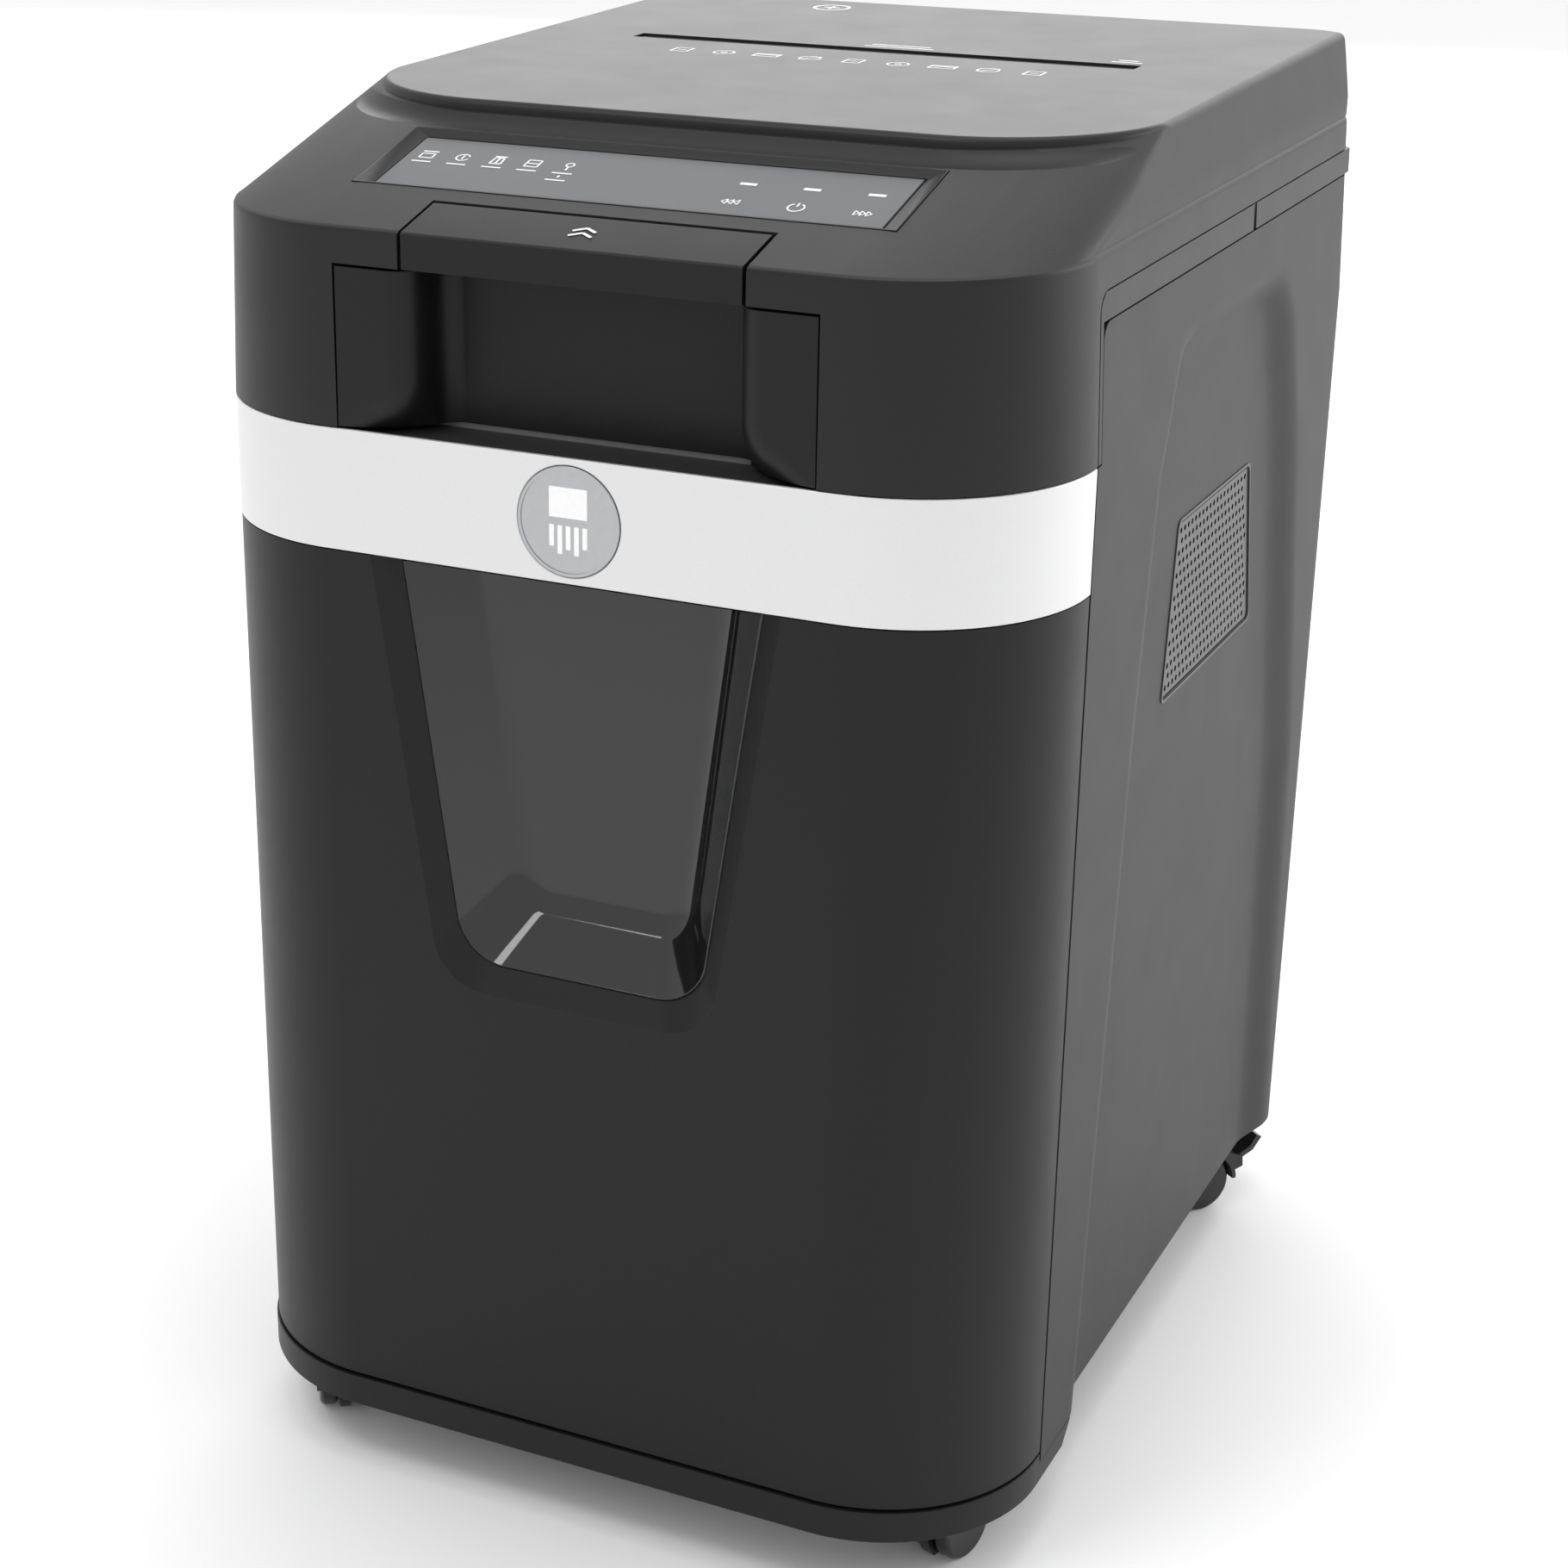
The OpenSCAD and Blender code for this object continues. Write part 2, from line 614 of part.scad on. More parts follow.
module lid_liner() color("#29292b") {
    difference() {
        union() {
            span([-176, front_y + 84, lid_z + 2], [176, feed_y - chute_out, lid_z + 4.5]);
            span([-176, feed_y + chute_out, lid_z + 2], [176, hinge_y - 10, lid_z + 4.5]);
            for (p = post_spots()) translate([p[0], p[1], lid_z + 2]) cylinder(h = 30, r = 7, $fn = round_n);
        }
        for (p = post_spots()) translate([p[0], p[1], 0]) cylinder(h = lid_z + 29, r = post_r + run_gap, $fn = round_n);
        both_sides() span([hinge_x - 6, hinge_y - 16, 0], [hinge_x + 6, hinge_y, big]);
    }
    both_sides() for (x = [hinge_x - 9, hinge_x + 9]) difference() {
        union() {
            span([x - 3, hinge_y - 26, lid_z + 2.5], [x + 3, hinge_y, hinge_z + 5]);
            rod_x(x - 3, x + 3, hinge_y, hinge_z, 6.8);
        }
        rod_x(x - 4, x + 4, hinge_y, hinge_z, hinge_pin_r + run_gap);
    }
}

// Four walls that lead hand-fed sheets down through the lid
module slot_chute() color("#29292b") {
    for (s = [-1, 1]) span([-slot_x - 2.5, feed_y + (s > 0 ? chute_in : -chute_out), lid_z + 2],
        [slot_x + 2.5, feed_y + (s > 0 ? chute_out : -chute_in), rim_z + 1]);
    both_sides() span([slot_x, feed_y - chute_in + run_gap, lid_z + 2],
        [slot_x + 2.5, feed_y + chute_in - run_gap, rim_z + 1]);
}

// Centres of the presser's guide posts
function post_spots() = [for (x = [-post_x, post_x], y = [-60, 30, 120, 184]) [x, y]];

module control_panel() color("#77797c") on_slope() difference() {
    span([-panel_x, 0, -6], [panel_x, panel_len, -0.3]);
    span([-panel_x + 3, 3, -1.5], [panel_x - 3, panel_len - 3, 9]);
    span([-panel_x + 4, 4, -9], [panel_x - 4, panel_len - 4, -3.2]);
}

module control_board() color("#2f5d3a") on_slope() {
    span([-panel_x + 6, 6, -7.6], [panel_x - 6, panel_len - 6, -6.2]);
    for (x = [52, 74, 96]) translate([x, 18, -6.2]) cylinder(h = 2, r = 5, $fn = round_n);
    for (x = [-100 : 16 : -36]) span([x - 2, 30, -6.2], [x + 2, 33, -4.8]);
    span([-20, 14, -6.2], [0, 34, -4.6]);
}

module handle_pin() color("#b5b8ba") rod_x(-69.5, 69.5, pivot_y, pivot_z, 2);

// Lug of the handle round its pin, from x0 to x1
module handle_lug(x0, x1) slab_x(x0, x1) polygon([
    [pivot_y - 5, pivot_z - 4], [pivot_y - 2, pivot_z - 7], [pivot_y + 4, pivot_z - 7], [pivot_y + 4, pivot_z],
    [pivot_y + 1, brow_z + 4.6], [pivot_y - 5, brow_z + 3.6]]);

module lift_handle() color("#2c2c2f") {
    difference() {
        union() {
            slab_x(-handle_x, handle_x) polygon([
                [front_y, lid_z], [front_y, brow_z - 0.8], [front_y + 0.8, brow_z],
                [front_y + 27, brow_z + 27 * rise - 0.2], [front_y + 27, brow_z + 27 * rise - 3.2],
                [front_y + 3.5, brow_z - 2.6], [front_y + 3.5, lid_z]]);
            both_sides() handle_lug(61, 65.4);
        }
        rod_x(-80, 80, pivot_y, pivot_z, 2 + run_gap);
    }
    difference() {
        union() {
            handle_lug(-9, 9);
            span([-7, pivot_y + 2, pivot_z - 7], [7, pivot_y + 17, pivot_z - 3]);
            span([-7, pivot_y + 14, lid_z - 16], [7, pivot_y + 17, pivot_z - 3]);
            span([-7, pivot_y + 16, lid_z - 16], [7, pivot_y + 20.5, lid_z - 13]);
        }
        rod_x(-20, 20, pivot_y, pivot_z, 2 + run_gap);
    }
}

module pressure_plate() color("#3d3d40") {
    span([-well_x + 3, well_y0 + 5, press_z], [well_x - 3, feed_y - throat - 1, press_z + press_t]);
    span([-well_x + 3, feed_y + throat + 1, press_z], [well_x - 3, well_y1 - 5, press_z + press_t]);
    for (p = post_spots()) translate([p[0], p[1], press_z + 1]) cylinder(h = 37, r = post_r, $fn = round_n);
}

// Two bars that join the halves of the pressure plate beside the hand-feed slot
module presser_bridges() color("#3d3d40") both_sides()
    span([well_x - 5.5, feed_y - throat - 1, press_z], [well_x - 3, feed_y + throat + 1, press_z + press_t]);

// Each spring is a stack of rings between the plate and the liner
module pressure_springs() color("#c0c3c5") for (p = post_spots(), i = [0 : 5])
    translate([p[0], p[1], press_z + press_t + 1 + i * 4]) rotate_extrude($fn = 48)
        translate([5.4, 0]) circle(0.55, $fn = 16);

// ---- cutter and drive ----

function disc_x(i, s) = -disc_pitch * (disc_n - 1) / 2 + i * disc_pitch + (s > 0 ? disc_pitch / 2 : 0) - 2.5;

// Cutter disc with four hooked notches and a hexagonal bore
module disc_2d(turn) rotate(turn) difference() {
    circle(disc_r, $fn = round_n);
    for (a = [0 : 90 : 270]) rotate(a) translate([disc_r - 3.2, 0])
        polygon([[0, 0], [6, -5.5], [8, 0], [6, 1.5]]);
    circle(10.1, $fn = 6);
}

module cutter_discs(s) for (i = [0 : disc_n - 1])
    translate([disc_x(i, s) - disc_t / 2, feed_y + s * cut_dy, cut_z]) rotate([90, 0, 90]) {
        linear_extrude(disc_t) disc_2d(i * 60);
        if (i < disc_n - 1) translate([0, 0, disc_t + 0.05]) linear_extrude(disc_pitch - disc_t - 0.1)
            difference() {
                circle(16.5, $fn = round_n);
                circle(10.1, $fn = 6);
            }
    }

module cutter_discs_front() color("#a9acae") cutter_discs(-1);
module cutter_discs_rear() color("#a9acae") cutter_discs(1);

// Hexagonal spindle with round journals
module spindle(s, x0, x1) {
    y = feed_y + s * cut_dy;
    translate([-plate_x + 6, y, cut_z]) rotate([90, 0, 90]) linear_extrude(2 * plate_x - 12) circle(10, $fn = 6);
    rod_x(x0, -plate_x + 6, y, cut_z, 8);
    rod_x(plate_x - 6, x1, y, cut_z, 8);
}

module cutter_spindle_front() color("#8d9093") {
    spindle(-1, -142.4, 167.8);
    gear_x(134, 144, feed_y - cut_dy, cut_z, 22, 2, 0);
    gear_x(146, 154, feed_y - cut_dy, cut_z, 44, 1.5, 0);
    gear_x(-142, -134, feed_y - cut_dy, cut_z, 44, 1.5, 0);
}

module cutter_spindle_rear() color("#8d9093") {
    spindle(1, -152.4, 145);
    gear_x(134, 144, feed_y + cut_dy, cut_z, 22, 2, 0.5);
    gear_x(-152, -144, feed_y + cut_dy, cut_z, 44, 1.5, 0);
}

// Roller shaft with its gear; the teeth mesh with the cutter gear straight below
module feed_shaft(s, gear_x0) {
    y = feed_y + s * cut_dy;
    rod_x(gear_x0 - 0.4, plate_x + plate_t + 3, y, roll_z, 5);
    gear_x(gear_x0, gear_x0 + 8, y, roll_z, 36, 1.5, 0.5);
}

module feed_shaft_front() color("#8d9093") feed_shaft(-1, -142);
module feed_shaft_rear() color("#8d9093") feed_shaft(1, -152);

module feed_rollers(s) for (x = [-80, -28, 28, 80])
    translate([x, feed_y + s * cut_dy, roll_z]) rotate([0, 90, 0]) difference() {
        cylinder(h = 24, r = roll_r, center = true, $fn = round_n);
        cylinder(h = 30, r = 5.02, center = true, $fn = round_n);
        for (a = [0 : 20 : 340]) rotate([0, 0, a]) translate([roll_r + 0.2, 0, 0])
            cylinder(h = 30, r = 0.8, center = true, $fn = 24);
    }

module feed_rollers_front() color("#1f1f20") feed_rollers(-1);
module feed_rollers_rear() color("#1f1f20") feed_rollers(1);

module reduction_gear() color("#c9c4b4") difference() {
    union() {
        gear_x(146, 154, idle_y, cut_z, 12, 1.5, 0.5);
        gear_x(156, 162, idle_y, cut_z, 48, 1, 0);
        rod_x(154, 156, idle_y, cut_z, 7);
    }
    rod_x(140, 170, idle_y, cut_z, 4 + run_gap);
}

module motor_pinion() color("#8d9093") {
    rod_x(45, 164, motor_y, cut_z, 3);
    gear_x(156, 162, motor_y, cut_z, 10, 1, 0.5);
}

module fan_rotor() color("#1d1d1f") {
    rod_y(rear_y - 25, rear_y - 8, fan_x, fan_z, 14);
    rod_y(rear_y - 28, rear_y - 25, fan_x, fan_z, 2);
    for (a = [0 : 360 / 7 : 359]) translate([fan_x, rear_y - 15.5, fan_z]) rotate([0, a, 0])
        translate([13, 0, 0]) rotate([32, 0, 0]) translate([0, -0.7, -8]) cube([21.5, 1.4, 16]);
}

module rocker_switch() color("#0f0f10") {
    difference() {
        translate([71.5, rear_y - 2, 110]) rotate([0, 90, 0]) cylinder(h = 13.6, r = 10, center = true, $fn = round_n);
        span([60, rear_y - 20, 90], [90, rear_y - 8, 130]);
        span([60, rear_y + 1.2, 90], [90, rear_y + 20, 110]);
        translate([60, rear_y + 1.2, 110]) rotate([-14, 0, 0]) span([0, 0, 0], [30, 20, 20]);
    }
}

// ---- casters ----

// Housing of one caster, trailing along +Y: stem, top disc, web and hood
module caster_housing() difference() {
    union() {
        translate([0, 0, axle_z + 19]) cylinder(h = 16, r = 4, $fn = round_n);
        translate([0, 0, axle_z + 17]) cylinder(h = 7.4, r = 11, $fn = round_n);
        rod_x(-2.6, 2.6, trail, axle_z, 15);
        difference() {
            rod_x(-13.5, 13.5, trail, axle_z, 19.4);
            rod_x(-14.5, 14.5, trail, axle_z, 17.2);
            slab_x(-20, 20) polygon([[-30, -5], [60, -5], [60, axle_z + 2], [trail, axle_z], [-30, axle_z + 9]]);
        }
        rod_x(-2.6, 2.6, trail, axle_z, 18);
    }
    rod_x(-20, 20, trail, axle_z, 2.5 + run_gap);
    slab_x(-20, 20) polygon([[-30, -5], [60, -5], [60, 3], [-30, 3]]);
}

// Two ears behind the hood that carry the brake pedal's pin
module brake_ears() difference() {
    for (s = [-1, 1]) slab_x(s * 10.6 - 1.2, s * 10.6 + 1.2) polygon([
        [trail + 12, axle_z + 17], [trail + 24, axle_z + 12], [trail + 24.5, axle_z + 6], [trail + 18, axle_z + 4]]);
    rod_x(-20, 20, trail, axle_z, 17.2);
    rod_x(-20, 20, trail + 21.8, axle_z + 9, 1.5 + run_gap);
}

// Hood of a rear caster, with the ears of its brake
module braked_housing() {
    caster_housing();
    brake_ears();
}

// Twin wheels on one axle
module caster_wheels() {
    rod_x(-11.8, 11.8, trail, axle_z, 2.5);
    for (s = [-1, 1]) translate([s * 7.6, trail, axle_z]) rotate([0, 90, 0])
        rotate_extrude($fn = round_n) polygon([
            [2.4, -4.2], [wheel_r - 1.4, -4.2], [wheel_r, -2.8], [wheel_r, 2.8], [wheel_r - 1.4, 4.2], [2.4, 4.2]]);
}

// Brake pedal hinged on the back of the hood, sticking up and out
module caster_brake() {
    rod_x(-9, 9, trail + 21.8, axle_z + 9, 2.2);
    rod_x(-11.8, 11.8, trail + 21.8, axle_z + 9, 1.5);
    slab_x(-8, 8) polygon([
        [trail + 21, axle_z + 9.5], [trail + 23.5, axle_z + 7.5], [trail + 33, axle_z + 12],
        [trail + 38, axle_z + 19], [trail + 35, axle_z + 20.5], [trail + 31, axle_z + 14.5]]);
}

// Place one caster: at = [x, y], turned by yaw so that it trails along its own +Y
module caster_at(sx, sy) translate([sx * caster_x, sy > 0 ? caster_rear : -caster_front, 0])
    rotate([0, 0, caster_yaw(sx, sy)]) children();

function caster_yaw(sx, sy) = sy > 0 ? sx * -40 : sx > 0 ? -15 : -145;

module caster_housing_fl() color("#1b1b1d") caster_at(-1, -1) caster_housing();
module caster_housing_fr() color("#1b1b1d") caster_at(1, -1) caster_housing();
module caster_housing_rl() color("#1b1b1d") caster_at(-1, 1) braked_housing();
module caster_housing_rr() color("#1b1b1d") caster_at(1, 1) braked_housing();
module caster_wheels_fl() color("#2a2a2c") caster_at(-1, -1) caster_wheels();
module caster_wheels_fr() color("#2a2a2c") caster_at(1, -1) caster_wheels();
module caster_wheels_rl() color("#2a2a2c") caster_at(-1, 1) caster_wheels();
module caster_wheels_rr() color("#2a2a2c") caster_at(1, 1) caster_wheels();
module caster_brake_rl() color("#1b1b1d") caster_at(-1, 1) caster_brake();
module caster_brake_rr() color("#1b1b1d") caster_at(1, 1) caster_brake();

base_tray();
front_skirt();
side_panel_left();
side_panel_right();
vent_grille_left();
vent_grille_right();
rear_panel();
shoulder_frame();
pocket_insert();
feed_bed();
feed_sides();
feed_ends();
inner_frame();
drawer_rails();
cutter_plate_left();
cutter_plate_right();
tie_rods();
cutter_bushes();
stripper_combs();
motor_can();
gearbox_plate();
fan_frame();
power_board();
power_inlet();
case_screws();
hinge_brackets();
drawer_front();
silver_band();
badge();
window();
bin_tub();
drawer_pull();
lid_shell();
lid_liner();
slot_chute();
control_panel();
control_board();
handle_pin();
lift_handle();
pressure_plate();
presser_bridges();
pressure_springs();
cutter_spindle_front();
cutter_spindle_rear();
cutter_discs_front();
cutter_discs_rear();
feed_shaft_front();
feed_shaft_rear();
feed_rollers_front();
feed_rollers_rear();
reduction_gear();
motor_pinion();
fan_rotor();
rocker_switch();
caster_housing_fl();
caster_housing_fr();
caster_housing_rl();
caster_housing_rr();
caster_wheels_fl();
caster_wheels_fr();
caster_wheels_rl();
caster_wheels_rr();
caster_brake_rl();
caster_brake_rr();
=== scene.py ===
"""Paper shredder: shells, window, panel, casters and studio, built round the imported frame."""
import json
import math

import bpy
from bpy.props import FloatProperty, FloatVectorProperty, IntProperty, PointerProperty
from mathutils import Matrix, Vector


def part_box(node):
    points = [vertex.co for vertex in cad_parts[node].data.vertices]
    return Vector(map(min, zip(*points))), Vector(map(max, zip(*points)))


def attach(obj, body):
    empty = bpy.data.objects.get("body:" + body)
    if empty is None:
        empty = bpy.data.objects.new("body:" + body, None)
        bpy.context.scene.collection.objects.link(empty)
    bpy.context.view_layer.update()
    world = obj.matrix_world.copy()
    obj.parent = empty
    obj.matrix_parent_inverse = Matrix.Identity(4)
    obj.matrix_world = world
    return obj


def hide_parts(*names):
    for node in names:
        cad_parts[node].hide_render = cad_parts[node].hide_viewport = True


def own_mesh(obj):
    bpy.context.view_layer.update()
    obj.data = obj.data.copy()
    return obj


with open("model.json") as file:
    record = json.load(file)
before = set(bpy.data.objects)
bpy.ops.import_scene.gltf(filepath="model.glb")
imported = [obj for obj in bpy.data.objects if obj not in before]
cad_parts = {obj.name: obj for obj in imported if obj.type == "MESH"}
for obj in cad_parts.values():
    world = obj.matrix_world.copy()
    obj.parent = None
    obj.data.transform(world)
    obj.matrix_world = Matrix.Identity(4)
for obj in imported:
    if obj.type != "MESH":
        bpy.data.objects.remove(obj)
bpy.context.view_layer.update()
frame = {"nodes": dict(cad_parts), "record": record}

bl_info = {
    "name": "Paper shredder",
    "version": (1, 0, 0),
    "blender": (4, 5, 0),
    "location": "View3D > Sidebar > Shredder",
    "description": "Models the visible shells and finishes of an auto-feed paper shredder",
    "category": "Add Mesh",
}

MM = 0.001
NODES = frame["nodes"]


def low(node):
    """Lowest corner of a CAD node at rest"""
    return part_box(node)[0]


def high(node):
    """Highest corner of a CAD node at rest"""
    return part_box(node)[1]


# Main faces of the body, taken from the frame
HALF_W = high("silver_band").x
FRONT = low("silver_band").y
BAND_LOW = low("silver_band").z
BAND_TOP = high("silver_band").z
PART_Y = high("silver_band").y
BASE_Z = low("side_panel_right").z
SHOULDER_Z = high("side_panel_right").z
LID_Z = high("shoulder_frame").z
TOP_Z = high("lid_shell").z
BAND_MID = (BAND_LOW + BAND_TOP) / 2

# Rear face without its screw heads, and the axis of the lid's hinge
REAR = 233 * MM
HINGE = Vector((0, 223 * MM, 572 * MM))

# Gap at the visible seams, and how much the sides lean in per unit of height above the band
SEAM_GAP = 0.6 * MM
LEAN = 0.04

# Lid above the crease: how far in the crease lies, and the steeper lean above it as run and rise
CREASE_IN = 3.3 * MM
CREASE_RUN, CREASE_RISE = 6.5, 32

# Raised tray on the lid: half width, front edge, corner radius, and its top's tilt about the front rim
RIM_HALF = 181 * MM
RIM_FRONT = -121 * MM
RIM_R = 78 * MM
TILT_Y = -106 * MM
TILT = 0.0118

# Openings in the lid: half widths of the pocket, handle and slot, and the slot's middle
POCKET_HALF = 105.6 * MM
HANDLE_HALF = 75.3 * MM
SLOT_HALF = 124 * MM
SLOT_MID = 79 * MM

# Window: top of the shape before the band covers it, then half widths, bottom edge and corner radius
# of the opening, of the collar behind it and of the clear tub
WIN_TOP = 450 * MM
OPENING = {"half_top": 82.5 * MM, "half_low": 55.7 * MM, "z0": 265 * MM, "radius": 19 * MM}
COLLAR = {"half_top": 97 * MM, "half_low": 69 * MM, "z0": 251 * MM, "radius": 26 * MM}
TUB = {"half_top": 82 * MM, "half_low": 55.2 * MM, "z0": 265.6 * MM, "radius": 19 * MM}
TUB_BACK = FRONT + 33 * MM

# Side panels: depth of the scoop, run of its front, rear and top ramps, and the vent's top corners
SCOOP_DEPTH = 7 * MM
SCOOP_FRONT, SCOOP_REAR, SCOOP_TOP = 26 * MM, 34 * MM, 17 * MM
VENT_TOP = (-10 * MM, 96 * MM)


# ---- settings ----

def linear(hex_colour):
    """sRGB hex to linear red, green, blue and alpha"""
    values = [int(hex_colour[i:i + 2], 16) / 255 for i in (1, 3, 5)]
    return tuple(v / 12.92 if v <= 0.04045 else ((v + 0.055) / 1.055) ** 2.4 for v in values) + (1.0,)


class ShredderSizes(bpy.types.PropertyGroup):
    """Sizes of the visible shells, in metres"""
    corner: FloatProperty(name="Front corner", description="Radius of the front corners in plan",
                          default=77 * MM, unit="LENGTH")
    rear_corner: FloatProperty(name="Rear corner", description="Radius of the rear corners in plan",
                               default=20 * MM, unit="LENGTH")
    brow: FloatProperty(name="Brow height", description="Height of the head's front edge",
                        default=576.5 * MM, unit="LENGTH")
    crease: FloatProperty(name="Side crease", description="Height where the lid's sides start to lean in",
                          default=579 * MM, unit="LENGTH")
    rim: FloatProperty(name="Tray rim", description="Height of the tray's front rim",
                       default=611 * MM, unit="LENGTH")
    rise: FloatProperty(name="Slope", description="Rise of the sloping top per unit of depth",
                        default=0.2698)
    wall: FloatProperty(name="Wall", description="Thickness of the moulded shells",
                        default=3 * MM, unit="LENGTH")
    seam: FloatProperty(name="Seam edge", description="Rounding of the edges along seams",
                        default=0.6 * MM, unit="LENGTH")
    steps: IntProperty(name="Corner steps", description="Faces round a front corner", default=28)


class ShredderColours(bpy.types.PropertyGroup):
    """Base colours of the finishes"""
    shell: FloatVectorProperty(name="Black ABS", description="Textured black shells", subtype="COLOR",
                               size=3, default=linear("#131314")[:3])
    lid: FloatVectorProperty(name="Lid ABS", description="Lid and shoulder frame", subtype="COLOR",
                             size=3, default=linear("#151516")[:3])
    # side colour: a separate textured moulding, kept lighter than the shell as painted light for the light
    # falling on the sides
    side: FloatVectorProperty(name="Side ABS", description="Side panels", subtype="COLOR",
                              size=3, default=linear("#212122")[:3])
    band: FloatVectorProperty(name="Silver paint", description="Band round the front", subtype="COLOR",
                              size=3, default=linear("#d7d7d8")[:3])


def sizes():
    """Sizes set in the scene"""
    return bpy.context.scene.shredder_sizes


def colours():
    """Colours set in the scene"""
    return bpy.context.scene.shredder_colours


# ---- modelling helpers ----

def deselect():
    """Leave edit mode and select nothing"""
    if bpy.context.mode != "OBJECT":
        bpy.ops.object.mode_set(mode="OBJECT")
    bpy.ops.object.select_all(action="DESELECT")


def pick(obj):
    """Make obj the only selected and active object"""
    deselect()
    obj.select_set(True)
    bpy.context.view_layer.objects.active = obj
    return obj


def settle(obj):
    """Put the object's place and size into its mesh"""
    pick(obj)
    bpy.ops.object.transform_apply(location=True, rotation=True, scale=True)
    return obj


def block(name, corner_a, corner_b):
    """Start a piece as a block between two opposite corners"""
    a, b = Vector(corner_a), Vector(corner_b)
    deselect()
    bpy.ops.mesh.primitive_cube_add(size=1, location=(a + b) / 2)
    obj = bpy.context.object
    obj.name = name
    obj.scale = [abs(v) for v in (b - a)]
    return settle(obj)


def rod(name, centre, radius, depth, axis="Z", vertices=48):
    """Start a piece as a round rod about a row axis"""
    turn = {"X": (0, math.pi / 2, 0), "Y": (math.pi / 2, 0, 0), "Z": (0, 0, 0)}[axis]
    deselect()
    bpy.ops.mesh.primitive_cylinder_add(radius=radius, depth=depth, location=centre, rotation=turn,
                                        vertices=vertices)
    bpy.context.object.name = name
    return settle(bpy.context.object)


def edit(obj, kind, test):
    """Enter edit mode with the verts, edges or faces selected whose centre and normal pass the test"""
    pick(obj)
    mesh = obj.data
    bpy.context.tool_settings.mesh_select_mode = (kind == "VERT", kind == "EDGE", kind == "FACE")
    bpy.ops.object.mode_set(mode="EDIT")
    bpy.ops.mesh.select_all(action="DESELECT")
    bpy.ops.object.mode_set(mode="OBJECT")
    if kind == "FACE":
        for face in mesh.polygons:
            face.select = bool(test(face.center, face.normal))
    elif kind == "EDGE":
        for edge in mesh.edges:
            ends = [mesh.vertices[i].co for i in edge.vertices]
            edge.select = bool(test(ends[0], ends[1]))
    else:
        for vert in mesh.vertices:
            vert.select = bool(test(vert.co, vert.normal))
    bpy.ops.object.mode_set(mode="EDIT")


def leave():
    """Back to object mode"""
    bpy.ops.object.mode_set(mode="OBJECT")


def bevel_edges(obj, width, steps, test):
    """Round the edges whose two ends pass the test"""
    edit(obj, "EDGE", test)
    bpy.ops.mesh.bevel(offset=width, offset_type="OFFSET", segments=steps, profile=0.5, affect="EDGES")
    leave()


def move_part(obj, kind, test, shift=(0, 0, 0), grow=(1, 1, 1), centre=(0, 0, 0)):
    """Scale and shift the selected part of a piece about a centre"""
    edit(obj, kind, test)
    bpy.ops.transform.resize(value=grow, center_override=centre)
    bpy.ops.transform.translate(value=shift)
    leave()


def slice_off(obj, point, normal, fill=True):
    """Cut the piece by a plane and drop what lies on the normal's side"""
    edit(obj, "FACE", lambda c, n: True)
    bpy.ops.mesh.bisect(plane_co=point, plane_no=Vector(normal).normalized(), use_fill=fill, clear_outer=True)
    leave()


def apply_modifier(obj, kind, **settings):
    """Add a modifier with its settings and apply it"""
    pick(obj)
    modifier = obj.modifiers.new(kind.lower(), kind)
    for key, value in settings.items():
        setattr(modifier, key, value)
    bpy.ops.object.modifier_apply(modifier=modifier.name)
    return obj


def combine(obj, tool, operation="DIFFERENCE"):
    """Boolean the tool into obj and delete the tool"""
    apply_modifier(obj, "BOOLEAN", object=tool, operation=operation, solver="EXACT")
    bpy.data.objects.remove(tool)
    return obj


def soften(obj, width, steps=2, angle=40):
    """Round every edge sharper than the angle, in degrees"""
    return apply_modifier(obj, "BEVEL", width=width, segments=steps, limit_method="ANGLE",
                          angle_limit=math.radians(angle), use_clamp_overlap=True, harden_normals=False)


def smooth(obj, angle=32):
    """Smooth shading below the angle, with large flat faces kept flat to the eye"""
    pick(obj)
    bpy.ops.object.shade_smooth_by_angle(angle=math.radians(angle))
    return apply_modifier(obj, "WEIGHTED_NORMAL", keep_sharp=True)


def clean(obj):
    """Merge doubled points and turn the faces outwards"""
    edit(obj, "VERT", lambda c, n: True)
    bpy.ops.mesh.remove_doubles(threshold=1e-5)
    bpy.ops.mesh.normals_make_consistent(inside=False)
    leave()
    return obj


def join(pieces, name):
    """Make several pieces one"""
    pick(pieces[0])
    for piece in pieces:
        piece.select_set(True)
    bpy.ops.object.join()
    joined = bpy.context.object
    joined.name = name
    return joined


def copied(obj, name):
    """Copy a piece with a mesh of its own"""
    twin = obj.copy()
    twin.data = obj.data.copy()
    twin.name = name
    bpy.context.scene.collection.objects.link(twin)
    return settle(twin)


def from_node(node, name, width=0.5 * MM, steps=2, angle=35):
    """Copy a CAD node, merge its loose triangles and round its sharp edges"""
    piece = copied(NODES[node], name)
    piece.data.materials.clear()
    edit(piece, "VERT", lambda c, n: True)
    bpy.ops.mesh.remove_doubles(threshold=1e-5)
    bpy.ops.mesh.dissolve_limited(angle_limit=math.radians(0.6))
    leave()
    if width:
        soften(piece, width, steps, angle)
    return smooth(piece)


def place(piece, body, slot, material, *nodes):
    """Give a finished piece its finish, its body and the CAD nodes that it stands for"""
    piece.data.materials.clear()
    piece.data.materials.append(material)
    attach(piece, body)
    if nodes:
        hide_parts(*nodes)
    return piece


# ---- materials ----

def add_node(tree, kind, settings=None, links=None):
    """Add a node, set its properties and input values, and link inputs to other nodes' outputs"""
    node = tree.nodes.new(kind)
    for key, value in (settings or {}).items():
        if isinstance(key, str) and hasattr(node, key):
            setattr(node, key, value)
        else:
            node.inputs[key].default_value = value
    for key, (source, output) in (links or {}).items():
        tree.links.new(source.outputs[output], node.inputs[key])
    return node


